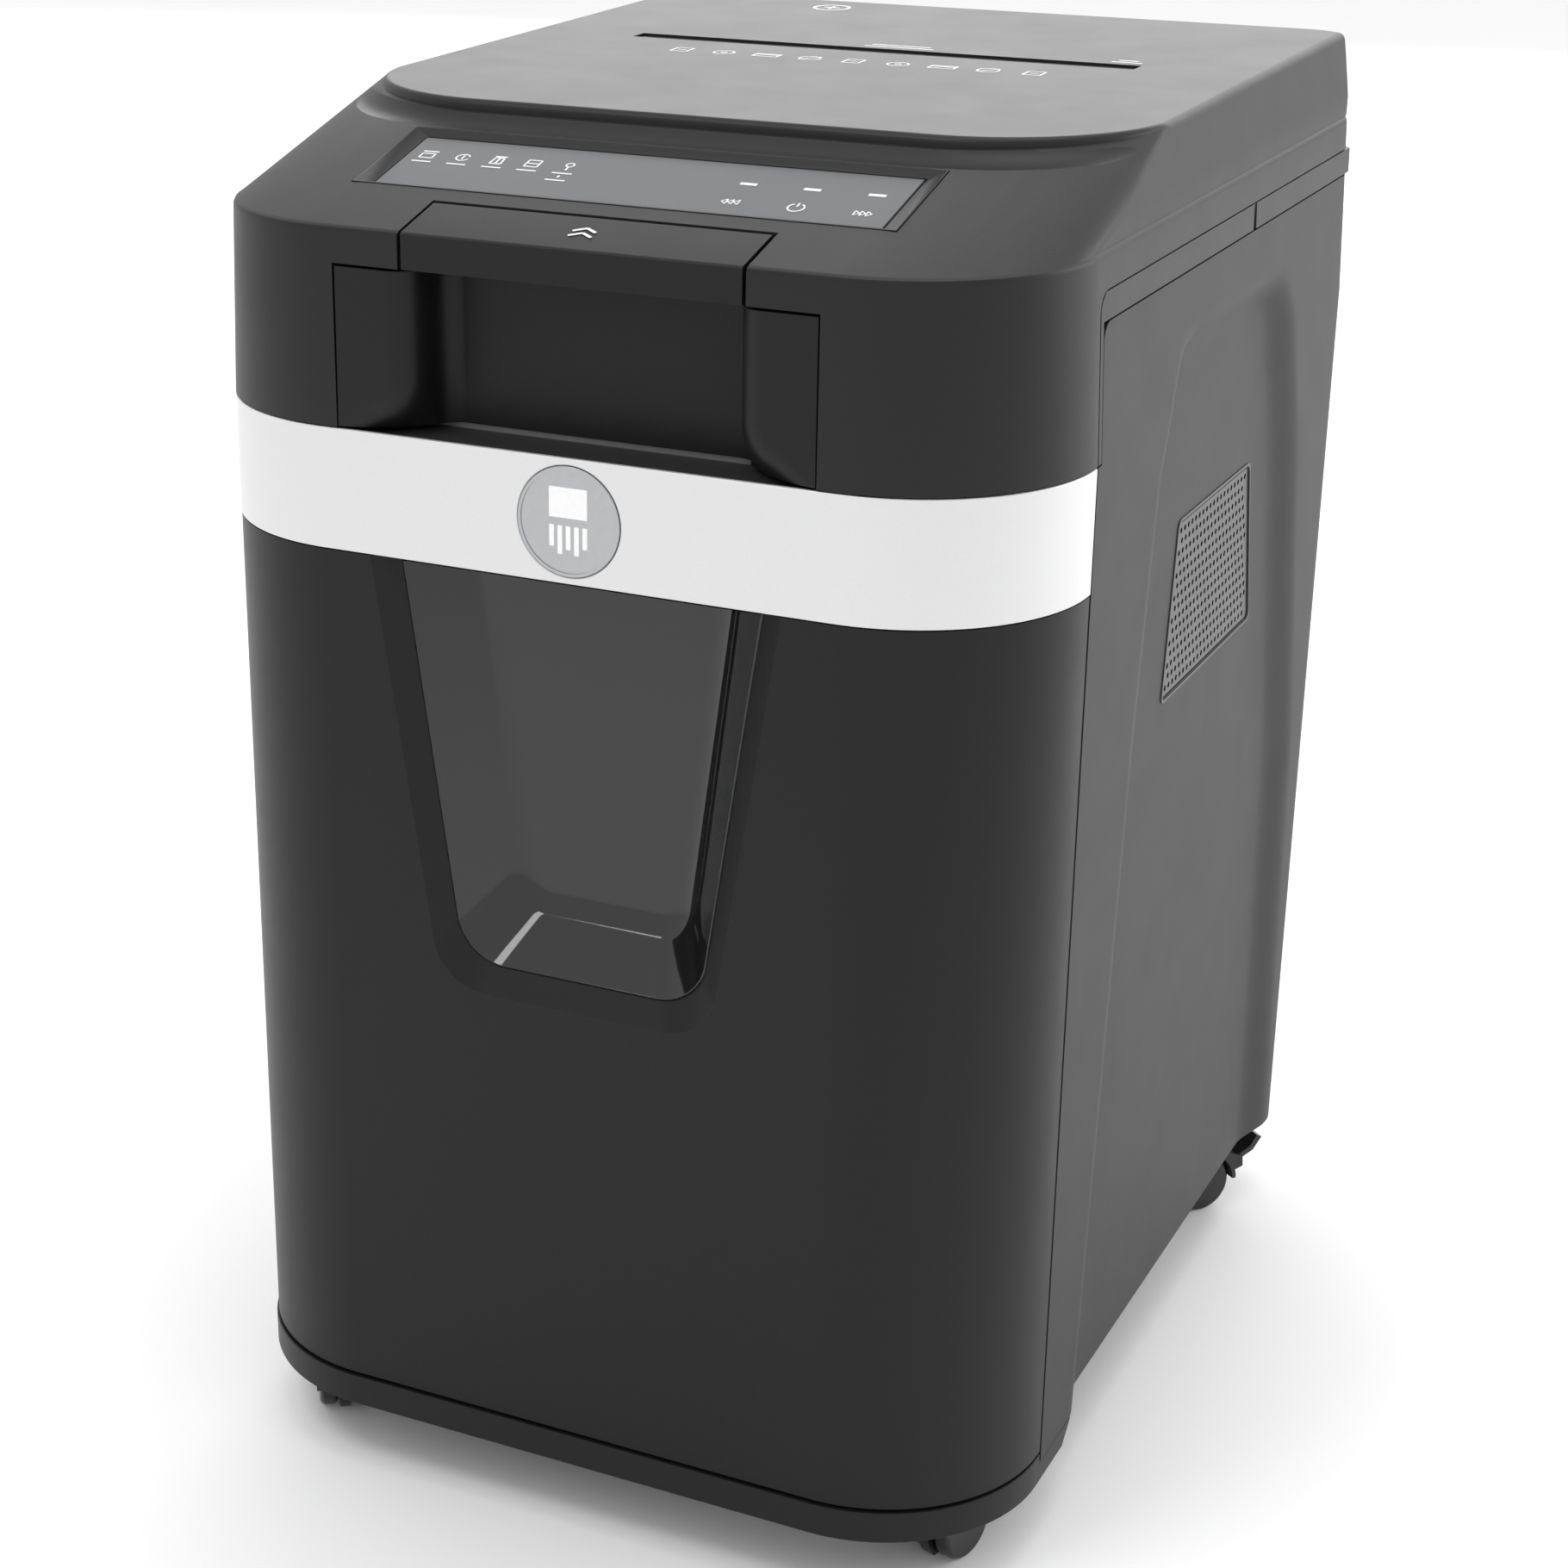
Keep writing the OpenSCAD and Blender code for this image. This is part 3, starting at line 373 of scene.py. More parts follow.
def new_material(name):
    """Node material with its shader and texture coordinates"""
    material = bpy.data.materials.new(name)
    material.use_nodes = True
    tree = material.node_tree
    shader = tree.nodes["Principled BSDF"]
    coords = add_node(tree, "ShaderNodeTexCoord")
    return material, tree, shader, coords


def tint(tree, shader, coords, colour, scale, amount, detail=4):
    """Slight cloudiness of the base colour, by amount either way"""
    noise = add_node(tree, "ShaderNodeTexNoise", {"Scale": scale, "Detail": detail},
                     {"Vector": (coords, "Object")})
    dark = [c * (1 - amount) for c in colour[:3]] + [1]
    light = [min(1, c * (1 + amount)) for c in colour[:3]] + [1]
    ramp = add_node(tree, "ShaderNodeMix", {"data_type": "RGBA"})
    ramp.inputs[6].default_value = dark
    ramp.inputs[7].default_value = light
    tree.links.new(noise.outputs["Fac"], ramp.inputs[0])
    tree.links.new(ramp.outputs[2], shader.inputs["Base Color"])


def vary_roughness(tree, shader, coords, scale, low_value, high_value):
    """Let the roughness wander between two values"""
    noise = add_node(tree, "ShaderNodeTexNoise", {"Scale": scale, "Detail": 3},
                     {"Vector": (coords, "Object")})
    span = add_node(tree, "ShaderNodeMapRange", {"To Min": low_value, "To Max": high_value},
                    {"Value": (noise, "Fac")})
    tree.links.new(span.outputs["Result"], shader.inputs["Roughness"])


def grain(tree, shader, coords, scale, strength, distance=0.0002):
    """Fine surface relief, scale in grains per metre"""
    noise = add_node(tree, "ShaderNodeTexNoise", {"Scale": scale, "Detail": 2, "Roughness": 0.6},
                     {"Vector": (coords, "Object")})
    bump = add_node(tree, "ShaderNodeBump", {"Strength": strength, "Distance": distance},
                    {"Height": (noise, "Fac")})
    tree.links.new(bump.outputs["Normal"], shader.inputs["Normal"])


def textured_abs(name, colour, roughness, gloss=0.5, strength=0.22):
    """ABS moulded in a spark-eroded tool: a fine even grain that breaks highlights into a satin sheen.
    The real grain is about 0.15 mm; it is drawn at 0.8 mm so that it shows."""
    material, tree, shader, coords = new_material(name)
    shader.inputs["IOR"].default_value = 1.52
    shader.inputs["Specular IOR Level"].default_value = gloss
    tint(tree, shader, coords, tuple(colour) + (1,), 900, 0.12)
    vary_roughness(tree, shader, coords, 35, roughness - 0.03, roughness + 0.03)
    grain(tree, shader, coords, 1300, strength)
    return material


def plain_abs(name, hex_colour, roughness):
    """ABS moulded in a polished tool: smoother and darker than the textured shells"""
    material, tree, shader, coords = new_material(name)
    shader.inputs["IOR"].default_value = 1.52
    tint(tree, shader, coords, linear(hex_colour), 120, 0.1)
    vary_roughness(tree, shader, coords, 60, roughness - 0.04, roughness + 0.04)
    grain(tree, shader, coords, 700, 0.05)
    return material


def silver_paint(name, colour):
    """Metallic lacquer sprayed on ABS: aluminium flakes give a bright, soft sheen with a fine sparkle"""
    material, tree, shader, coords = new_material(name)
    shader.inputs["Metallic"].default_value = 0.3
    shader.inputs["Coat Weight"].default_value = 0.25
    shader.inputs["Coat Roughness"].default_value = 0.25
    tint(tree, shader, coords, tuple(colour) + (1,), 2600, 0.07, 1)
    vary_roughness(tree, shader, coords, 1800, 0.3, 0.42)
    grain(tree, shader, coords, 2200, 0.04)
    return material


def brushed_disc(name, hex_colour):
    """Aluminium disc, lathe-finished: fine rings about its centre"""
    material, tree, shader, coords = new_material(name)
    shader.inputs["Metallic"].default_value = 0.9
    tint(tree, shader, coords, linear(hex_colour), 300, 0.06)
    centre = add_node(tree, "ShaderNodeMapping",
                      {"Location": (0, 0, -BAND_MID)}, {"Vector": (coords, "Object")})
    rings = add_node(tree, "ShaderNodeTexWave", {"wave_type": "RINGS", "rings_direction": "Y",
                                                 "Scale": 320, "Distortion": 1.5, "Detail": 2},
                     {"Vector": (centre, "Vector")})
    bump = add_node(tree, "ShaderNodeBump", {"Strength": 0.12, "Distance": 0.0001},
                    {"Height": (rings, "Fac")})
    tree.links.new(bump.outputs["Normal"], shader.inputs["Normal"])
    vary_roughness(tree, shader, coords, 200, 0.32, 0.42)
    return material


def smoked_clear(name):
    """Smoked polystyrene moulded clear: dark to look through, mirror-smooth, with faint moulding waves"""
    material, tree, shader, coords = new_material(name)
    shader.inputs["Transmission Weight"].default_value = 0.75
    shader.inputs["IOR"].default_value = 1.57
    tint(tree, shader, coords, linear("#2c2d2f"), 14, 0.12)
    vary_roughness(tree, shader, coords, 25, 0.04, 0.09)
    grain(tree, shader, coords, 14, 0.03, 0.002)
    return material


def gloss_acrylic(name, hex_colour):
    """Acrylic sheet printed grey on its back: glossy with a slight depth"""
    material, tree, shader, coords = new_material(name)
    shader.inputs["Coat Weight"].default_value = 0.15
    shader.inputs["Coat Roughness"].default_value = 0.2
    tint(tree, shader, coords, linear(hex_colour), 25, 0.05)
    vary_roughness(tree, shader, coords, 30, 0.34, 0.42)
    return material


def printed_ink(name, hex_colour):
    """Pad-printed ink: thin, opaque and slightly uneven"""
    material, tree, shader, coords = new_material(name)
    tint(tree, shader, coords, linear(hex_colour), 800, 0.06)
    vary_roughness(tree, shader, coords, 600, 0.45, 0.6)
    return material


def rolled_steel(name, hex_colour, roughness=0.35):
    """Zinc-plated or ground steel: metal with fine mottling"""
    material, tree, shader, coords = new_material(name)
    shader.inputs["Metallic"].default_value = 1.0
    tint(tree, shader, coords, linear(hex_colour), 90, 0.12)
    vary_roughness(tree, shader, coords, 140, roughness - 0.08, roughness + 0.08)
    grain(tree, shader, coords, 500, 0.08)
    return material


def soft_rubber(name, hex_colour):
    """Moulded rubber: deep black, dull, faintly dusty"""
    material, tree, shader, coords = new_material(name)
    tint(tree, shader, coords, linear(hex_colour), 220, 0.25)
    vary_roughness(tree, shader, coords, 180, 0.7, 0.85)
    grain(tree, shader, coords, 900, 0.15)
    return material


def circuit_board(name):
    """Glass-epoxy board under green solder mask: semi-gloss with traces as fine cells"""
    material, tree, shader, coords = new_material(name)
    cells = add_node(tree, "ShaderNodeTexVoronoi", {"Scale": 160, "distance": "MANHATTAN"},
                     {"Vector": (coords, "Object")})
    mix = add_node(tree, "ShaderNodeMix", {"data_type": "RGBA"})
    mix.inputs[6].default_value = linear("#1f4a2b")
    mix.inputs[7].default_value = linear("#2c6a3d")
    tree.links.new(cells.outputs["Distance"], mix.inputs[0])
    tree.links.new(mix.outputs[2], shader.inputs["Base Color"])
    shader.inputs["Roughness"].default_value = 0.35
    return material


FINISHES = {}


def finish(key):
    """Material by its short key"""
    return FINISHES[key]


def build_finishes():
    """Make every material once"""
    FINISHES.update({
        "shell": textured_abs("spark_textured_abs_black", colours().shell, 0.42, 0.24),
        "lid": textured_abs("spark_textured_abs_lid", colours().lid, 0.44, 0.3),
        # side panels: own moulding; their base colour is lighter than the shell as painted light
        "side": textured_abs("spark_textured_abs_side_painted_light", colours().side, 0.52, 0.35),
        "inner": plain_abs("polished_abs_black", "#1b1b1d", 0.34),
        # pocket back wall: light grey is painted light, standing in for front light on a black ABS wall
        "pocket": textured_abs("painted_light_pocket_back", linear("#6c6c6d")[:3], 0.42, 0.6),
        # drawer shelf: dark grey lighter than the inner black is painted light
        "shelf": textured_abs("painted_light_drawer_shelf", linear("#303031")[:3], 0.45, 0.6),
        "band": silver_paint("metallic_lacquer_silver", colours().band),
        "badge": brushed_disc("lathe_finished_aluminium", "#b2b3b5"),
        "badge_ink": printed_ink("badge_relief_light", "#eeeeee"),
        "smoked": smoked_clear("smoked_clear_polystyrene"),
        "panel": gloss_acrylic("back_printed_acrylic", "#4b4d50"),
        "ink": printed_ink("pad_printed_white", "#e6e6e6"),
        "steel": rolled_steel("zinc_plated_steel", "#a9abad"),
        "tool": rolled_steel("ground_tool_steel", "#8b8d90", 0.28),
        "bronze": rolled_steel("sintered_bronze", "#a5824d", 0.45),
        "rubber": soft_rubber("grooved_rubber", "#1a1a1a"),
        "nylon": plain_abs("moulded_nylon_natural", "#cfc9b8", 0.5),
        "caster": plain_abs("moulded_nylon_black", "#161617", 0.32),
        "board": circuit_board("solder_masked_board"),
    })


SLOT_FINISH = {
    "black_abs": "shell", "side_abs": "side", "inner_abs": "inner", "silver_paint": "band",
    "badge_metal": "badge", "smoked": "smoked", "panel_gloss": "panel", "zinc_steel": "steel",
    "tool_steel": "tool", "bronze": "bronze", "roller_rubber": "rubber", "gear_nylon": "nylon",
    "board": "board", "caster_nylon": "caster",
}


def dress_cad_nodes():
    """Every CAD node that stays in view takes the finish of its slot"""
    for part in frame["record"]["subparts"]:
        obj = NODES[part["node"]]
        obj.data.materials.clear()
        obj.data.materials.append(finish(SLOT_FINISH[part["material_slot"]]))


# ---- shared body form ----

def body_block(name, z0, z1, inset=0.0):
    """Solid with the body's outline in plan: large front corners, small rear corners"""
    s = sizes()
    obj = block(name, (-HALF_W + inset, FRONT + inset, z0), (HALF_W - inset, REAR - inset, z1))
    middle = (FRONT + REAR) / 2
    upright = lambda a, b: abs(a.z - b.z) > 0.5 * (z1 - z0)
    bevel_edges(obj, s.corner - inset, s.steps, lambda a, b: upright(a, b) and a.y < middle)
    at_side = HALF_W - inset - MM
    bevel_edges(obj, max(1 * MM, s.rear_corner - inset), 8,
                lambda a, b: upright(a, b) and a.y > middle and abs(a.x) > at_side)
    return obj


def front_shell(name, z0, z1, inset, thickness):
    """Open shell round the front as far back as the part line"""
    obj = body_block(name, z0, z1, inset)
    edit(obj, "FACE", lambda c, n: abs(n.z) > 0.9)
    bpy.ops.mesh.delete(type="FACE")
    leave()
    slice_off(obj, (0, PART_Y, 0), (0, 1, 0), fill=False)
    return apply_modifier(obj, "SOLIDIFY", thickness=thickness, offset=-1, use_even_offset=True)


# ---- drawer ----

def window_form(name, y0, y1, half_top, half_low, z0, radius):
    """Tapered window outline with rounded lower corners, from y0 to y1"""
    obj = block(name, (-half_top, y0, z0), (half_top, y1, WIN_TOP))
    move_part(obj, "FACE", lambda c, n: n.z < -0.9, grow=(half_low / half_top, 1, 1), centre=(0, 0, z0))
    bevel_edges(obj, radius, 10,
                lambda a, b: abs(a.y - b.y) > 0.5 * (y1 - y0) and max(a.z, b.z) < z0 + MM)
    return obj


def make_drawer_front():
    """Curved front of the drawer with the flared window opening, and the carrier behind the band"""
    panel_top = BAND_LOW - 0.4 * MM
    panel = front_shell("drawer_front_shell", low("drawer_front").z, panel_top, 0.3 * MM, 4 * MM)
    collar = window_form("collar", FRONT + 2 * MM, FRONT + 10 * MM, **COLLAR)
    slice_off(collar, (0, 0, panel_top), (0, 0, 1))
    combine(panel, collar, "UNION")
    combine(panel, window_form("through", FRONT + 5 * MM, FRONT + 30 * MM, **OPENING))
    flare = window_form("flare", FRONT - 2 * MM, FRONT + 8 * MM, **OPENING)
    move_part(flare, "FACE", lambda c, n: n.y < -0.9, grow=(1.17, 1, 1.075), centre=(0, 0, WIN_TOP))
    combine(panel, flare)
    soften(panel, sizes().seam)
    smooth(panel)
    place(panel, "drawer", "black_abs", finish("shell"), "drawer_front")
    carrier = front_shell("band_carrier", panel_top, BAND_TOP - MM, 2.6 * MM, 2.6 * MM)
    soften(carrier, 0.3 * MM)
    place(smooth(carrier), "drawer", "black_abs", finish("inner"))


def make_window():
    """Clear tub that tapers to its back and is open to the front"""
    tub = window_form("window_tub", FRONT + 7 * MM, TUB_BACK, **TUB)
    move_part(tub, "FACE", lambda c, n: n.y > 0.9, grow=(0.72, 1, 0.885), centre=(0, 0, WIN_TOP))
    slice_off(tub, (0, 0, WIN_TOP - 10.5 * MM), (0, 0, 1))
    edit(tub, "FACE", lambda c, n: n.y < -0.9)
    bpy.ops.mesh.delete(type="FACE")
    leave()
    bevel_edges(tub, 7 * MM, 6, lambda a, b: abs(a.y - TUB_BACK) < 1e-5 and abs(b.y - TUB_BACK) < 1e-5)
    edit(tub, "FACE", lambda c, n: True)
    bpy.ops.mesh.normals_make_consistent(inside=False)
    leave()
    apply_modifier(tub, "SOLIDIFY", thickness=2.2 * MM, offset=1, use_even_offset=True)
    soften(tub, 0.5 * MM, 2, 60)
    place(smooth(tub, 40), "drawer", "smoked", finish("smoked"), "window")


def make_band():
    """Silver band round the front, with a round seat for the badge"""
    band = front_shell("band_trim", BAND_LOW, BAND_TOP, 0, 2.4 * MM)
    seat = rod("seat", (0, FRONT, BAND_MID), 23 * MM, 2.6 * MM, "Y", 96)
    combine(band, seat)
    soften(band, 0.8 * MM, 3)
    place(smooth(band), "drawer", "silver_paint", finish("band"), "silver_band")


def make_badge():
    """Dished disc with a generic sign: a sheet above cut strips"""
    disc = rod("badge_disc", (0, FRONT + 0.4 * MM, BAND_MID), 22.7 * MM, 1.6 * MM, "Y", 96)
    bevel_edges(disc, 0.5 * MM, 3, lambda a, b: a.y < FRONT and b.y < FRONT)
    edit(disc, "FACE", lambda c, n: n.y < -0.9)
    bpy.ops.mesh.inset(thickness=1.3 * MM)
    bpy.ops.transform.translate(value=(0, 0.35 * MM, 0))
    leave()
    place(smooth(disc), "drawer", "badge_metal", finish("badge"), "badge")
    face = FRONT - 0.35 * MM
    back = face + 0.8 * MM
    marks = [block("sheet", (-8.5 * MM, face, BAND_MID + 1.5 * MM), (8.5 * MM, back, BAND_MID + 14 * MM))]
    for i, drop in enumerate((9, 12, 10, 12, 9)):
        x = (i - 2) * 3.7 * MM
        marks.append(block("strip", (x - 1.1 * MM, face, BAND_MID - (drop + 1.5) * MM),
                           (x + 1.1 * MM, back, BAND_MID - 1.6 * MM)))
    sign = soften(join(marks, "badge_sign"), 0.25 * MM)
    place(smooth(sign), "drawer", "badge_metal", finish("badge_ink"))


# ---- head and lid ----

def head_form(name, inset, z0):
    """Head block with its draft, its sloping top, its leaning sides and its raised tray"""
    s = sizes()
    brow = s.brow - inset
    obj = body_block(name, min(z0, BAND_TOP), brow, inset)
    narrow = (HALF_W - inset - LEAN * (brow - BAND_TOP)) / (HALF_W - inset)
    move_part(obj, "FACE", lambda c, n: n.z > 0.9, grow=(narrow, 1, 1))
    if inset == 0:
        edit(obj, "FACE", lambda c, n: n.z > 0.9)
        bpy.ops.transform.translate(value=(0, 0, -2.2 * MM))
        bpy.ops.mesh.extrude_region_move(TRANSFORM_OT_translate={"value": (0, 0.7 * MM, 1.5 * MM)})
        bpy.ops.transform.resize(value=(1 - 0.5 * MM / HALF_W, 1, 1))
        bpy.ops.mesh.extrude_region_move(TRANSFORM_OT_translate={"value": (0, 1.5 * MM, 0.9 * MM)})
        bpy.ops.transform.resize(value=(1 - 1.0 * MM / HALF_W, 1, 1))
        leave()
    depth = 160 * MM
    edit(obj, "FACE", lambda c, n: n.z > 0.9 and c.z > brow - 3 * MM)
    bpy.ops.mesh.extrude_region_move(TRANSFORM_OT_translate={"value": (0, depth, depth * s.rise)})
    leave()
    combine(obj, tray_block(inset), "UNION")
    for side in (-1, 1):
        crease = (side * (HALF_W - inset - CREASE_IN), 0, s.crease)
        slice_off(obj, crease, (side * CREASE_RISE, 0, CREASE_RUN))
    limit = block("limit", (-HALF_W - MM, FRONT - 9 * MM, 0.4), (HALF_W + MM, REAR - inset, 0.7))
    bevel_edges(limit, 32 * MM - inset, 12, lambda a, b: abs(a.z - b.z) > 0.2 and a.y > 0)
    combine(obj, limit, "INTERSECT")
    slice_off(obj, (0, TILT_Y, s.rim - inset), (0, -math.sin(TILT), math.cos(TILT)))
    slice_off(obj, (0, 0, z0), (0, 0, -1))
    return obj


def on_top(point, gap=0.15 * MM):
    """Whether a point lies on the tray's slightly tilted top"""
    return abs(point.z - sizes().rim - (point.y - TILT_Y) * math.tan(TILT)) < gap


def tray_block(inset):
    """Raised tray: rounded front corners, longer than the head so that the slices trim it"""
    s = sizes()
    half = RIM_HALF - inset
    obj = block("tray", (-half, RIM_FRONT + inset, s.brow + 10 * MM), (half, REAR + 0.02, TOP_Z + 10 * MM))
    bevel_edges(obj, RIM_R - inset, 32, lambda a, b: abs(a.z - b.z) > 10 * MM and a.y < 0)
    return obj


def groove_form():
    """Round bar that follows the tray's front rim and rises as it turns the corners"""
    radius, ahead, height, climb = 16.4 * MM, 14.2 * MM, 617 * MM, math.radians(3)
    turn_x, start_y = RIM_HALF - RIM_R, RIM_FRONT - ahead
    reach = RIM_R + ahead
    deselect()
    bpy.ops.mesh.primitive_circle_add(vertices=72, radius=radius, fill_type="NGON",
                                      location=(0, start_y, height), rotation=(0, math.pi / 2, 0))
    obj = settle(bpy.context.object)
    edit(obj, "FACE", lambda c, n: True)
    bpy.ops.mesh.extrude_region_move(TRANSFORM_OT_translate={"value": (turn_x, 0, 0)})
    centre = (turn_x, start_y + reach * math.cos(climb), height + reach * math.sin(climb))
    bpy.ops.mesh.spin(steps=24, angle=math.radians(-75), center=centre,
                      axis=(0, -math.sin(climb), math.cos(climb)))
    leave()
    slice_off(obj, (0, 0, 0), (-1, 0, 0), fill=False)
    edit(obj, "FACE", lambda c, n: c.x < 0.01 * MM or abs(c.x - turn_x) < 0.01 * MM and abs(n.x) > 0.99)
    bpy.ops.mesh.delete(type="FACE")
    leave()
    apply_modifier(obj, "MIRROR", use_axis=(True, False, False), merge_threshold=1e-4)
    return clean(obj)


def make_lid():
    """Hollow lid cover, cut open for the pocket, handle, panel, slot and hinges"""
    s = sizes()
    lid = head_form("lid_cover", 0, BAND_TOP + SEAM_GAP)
    bevel_edges(lid, 3.2 * MM, 5, lambda a, b: on_top(a) and on_top(b))
    combine(lid, groove_form())
    # soft facet along the crease between the sloping top and each leaning side
    for side in (-1, 1):
        slice_off(lid, (side * 181.9 * MM, -119.8 * MM, 592.9 * MM), (side * 0.82, -0.122, 0.559))
    combine(lid, head_form("hollow", s.wall, 0))
    below = block("below_seam", (-1, PART_Y - 0.3 * MM, 0), (1, 1, LID_Z + SEAM_GAP))
    bevel_edges(below, 9 * MM, 8,
                lambda a, b: max(a.y, b.y) < 0 and min(a.z, b.z) > 0.1 and abs(a.x - b.x) > 1)
    combine(lid, below)
    combine(lid, block("pocket", (-POCKET_HALF, -1, 0), (POCKET_HALF, PART_Y, LID_Z + 0.2 * MM)))
    combine(lid, block("handle_gap", (-HANDLE_HALF, -1, 0), (HANDLE_HALF, FRONT + 29.5 * MM, 1)))
    combine(lid, slope_block("recess", -119.5, 119.5, -3.2, 52.8, -9, 9))
    combine(lid, block("slot_gap", (-SLOT_HALF, SLOT_MID - 6 * MM, s.rim - 20 * MM),
                       (SLOT_HALF, SLOT_MID + 6 * MM, 1)))
    rear_arc = rod("rear_arc", HINGE, 10.1 * MM, 1, "X", 64)
    corner = block("rear_corner", (-1, HINGE.y, 0), (1, 1, HINGE.z))
    combine(lid, combine(corner, rear_arc))
    for side in (-1, 1):
        combine(lid, block("hinge_notch", (side * 116.2 * MM, HINGE.y - 8 * MM, 0),
                           (side * 127.8 * MM, 1, HINGE.z + 10 * MM)))
    soften(lid, 0.45 * MM, 2, 50)
    place(smooth(lid, 30), "lid", "black_abs", finish("lid"), "lid_shell")


def slope_frame():
    """Origin at the control panel's front edge on the sloping top, and the slope's angle"""
    s = sizes()
    front = FRONT + 42 * MM
    return Vector((0, front, s.brow + (front - FRONT) * s.rise)), math.atan(s.rise)


def to_slope(obj):
    """Move a piece drawn at the origin onto the sloping top"""
    origin, angle = slope_frame()
    pick(obj)
    obj.rotation_euler = (angle, 0, 0)
    obj.location = origin
    return settle(obj)


def slope_block(name, x0, x1, v0, v1, w0, w1):
    """Block in slope coordinates, in millimetres: X across, v up the slope, w out of it"""
    return to_slope(block(name, (x0 * MM, v0 * MM, w0 * MM), (x1 * MM, v1 * MM, w1 * MM)))


def make_panel():
    """Control panel: bevelled frame round a printed plate, lying on the sloping top"""
    bezel = block("panel_bezel", (-119.1 * MM, -2.8 * MM, -6.5 * MM), (119.1 * MM, 52.4 * MM, -0.2 * MM))
    edit(bezel, "FACE", lambda c, n: n.z > 0.9)
    bpy.ops.mesh.inset(thickness=0.8 * MM)
    bpy.ops.mesh.inset(thickness=2.4 * MM)
    bpy.ops.transform.resize(value=(0.965, 0.95, 1), center_override=(0, 23.4 * MM, 0))
    bpy.ops.transform.translate(value=(0, 0, -2.2 * MM))
    bpy.ops.mesh.inset(thickness=0.3 * MM)
    bpy.ops.transform.translate(value=(0, 0, -1.2 * MM))
    leave()
    soften(to_slope(bezel), 0.25 * MM)
    place(smooth(bezel), "lid", "panel_gloss", finish("lid"), "control_panel")
    plate = slope_block("panel_plate", -111.2, 111.2, 1.6, 46.6, -3.7, -2.1)
    soften(plate, 0.4 * MM, 3)
    place(smooth(plate), "lid", "panel_gloss", finish("panel"))
    make_panel_signs()


def stroke(parts, x0, y0, x1, y1, width=0.55, z0=0.0, thick=0.12):
    """Printed bar from one point to another, in millimetres"""
    length = math.hypot(x1 - x0, y1 - y0)
    half, side = length / 2 * MM, width / 2 * MM
    bar = block("bar", (-half, -side, z0 * MM), (half, side, (z0 + thick) * MM))
    bar.rotation_euler = (0, 0, math.atan2(y1 - y0, x1 - x0))
    bar.location = ((x0 + x1) / 2 * MM, (y0 + y1) / 2 * MM, 0)
    parts.append(settle(bar))


def arc(parts, x, y, radius, start, end, steps=10, width=0.55, z0=0.0):
    """Printed arc between two angles in degrees"""
    turns = [math.radians(start + (end - start) * i / steps) for i in range(steps + 1)]
    points = [(x + radius * math.cos(turn), y + radius * math.sin(turn)) for turn in turns]
    for (xa, ya), (xb, yb) in zip(points, points[1:]):
        stroke(parts, xa, ya, xb, yb, width, z0)


def outline(parts, points, width=0.55, z0=0.0):
    """Printed closed outline"""
    for (xa, ya), (xb, yb) in zip(points, points[1:] + points[:1]):
        stroke(parts, xa, ya, xb, yb, width, z0)


def make_panel_signs():
    """Five status signs with label bars, three lamps, and the reverse, power and forward signs"""
    parts = []
    z0 = -2.1
    for i in range(5):
        x = -101.8 + i * 16.35
        y = 30.5
        stroke(parts, x - 4.5, y - 6.5, x + 4.5, y - 6.5, 0.9, z0)
        if i == 0:
            outline(parts, [(x - 3, y - 3), (x + 3, y - 3), (x + 3, y + 1), (x - 3, y + 1)], 0.7, z0)
            stroke(parts, x - 3.6, y + 3, x + 3.6, y + 3, 0.9, z0)
        elif i == 1:
            arc(parts, x, y, 3, 20, 340, 9, 0.7, z0)
            stroke(parts, x, y - 1.5, x, y + 2, 0.7, z0)
        elif i == 2:
            outline(parts, [(x - 2.6, y - 3), (x + 2.6, y - 3), (x + 2, y + 2.5), (x - 2, y + 2.5)], 0.8, z0)
            stroke(parts, x - 2.8, y + 3.6, x + 2.8, y + 3.6, 0.8, z0)
            stroke(parts, x, y - 2.5, x, y + 2, 0.8, z0)
        elif i == 3:
            outline(parts, [(x - 3, y - 3), (x + 3, y - 3), (x + 3, y + 3), (x - 3, y + 3)], 0.7, z0)
            stroke(parts, x - 3, y, x + 3, y, 0.7, z0)
        else:
            arc(parts, x, y + 1.5, 1.8, 0, 360, 8, 0.7, z0)
            stroke(parts, x, y - 3.5, x, y, 0.8, z0)
            stroke(parts, x - 4.5, y - 13, x + 4.5, y - 13, 0.9, z0)
            stroke(parts, x, y - 10.6, x, y - 8.6, 0.9, z0)
    for i, x in enumerate((44, 71.3, 98.5)):
        stroke(parts, x - 3.6, 29, x + 3.6, 29, 2.0, z0)
        y = 12.5
        if i == 1:
            arc(parts, x, y, 3.4, 120, 420, 12, 0.7, z0)
            stroke(parts, x, y + 0.8, x, y + 4, 0.7, z0)
            continue
        way = 1 if i == 2 else -1
        for k in range(3):
            a = x + way * (k * 2.6 - 3)
            outline(parts, [(a, y - 2), (a + way * 2.2, y), (a, y + 2)], 0.5, z0)
    signs = to_slope(join(parts, "panel_signs"))
    place(signs, "lid", "panel_gloss", finish("ink"))


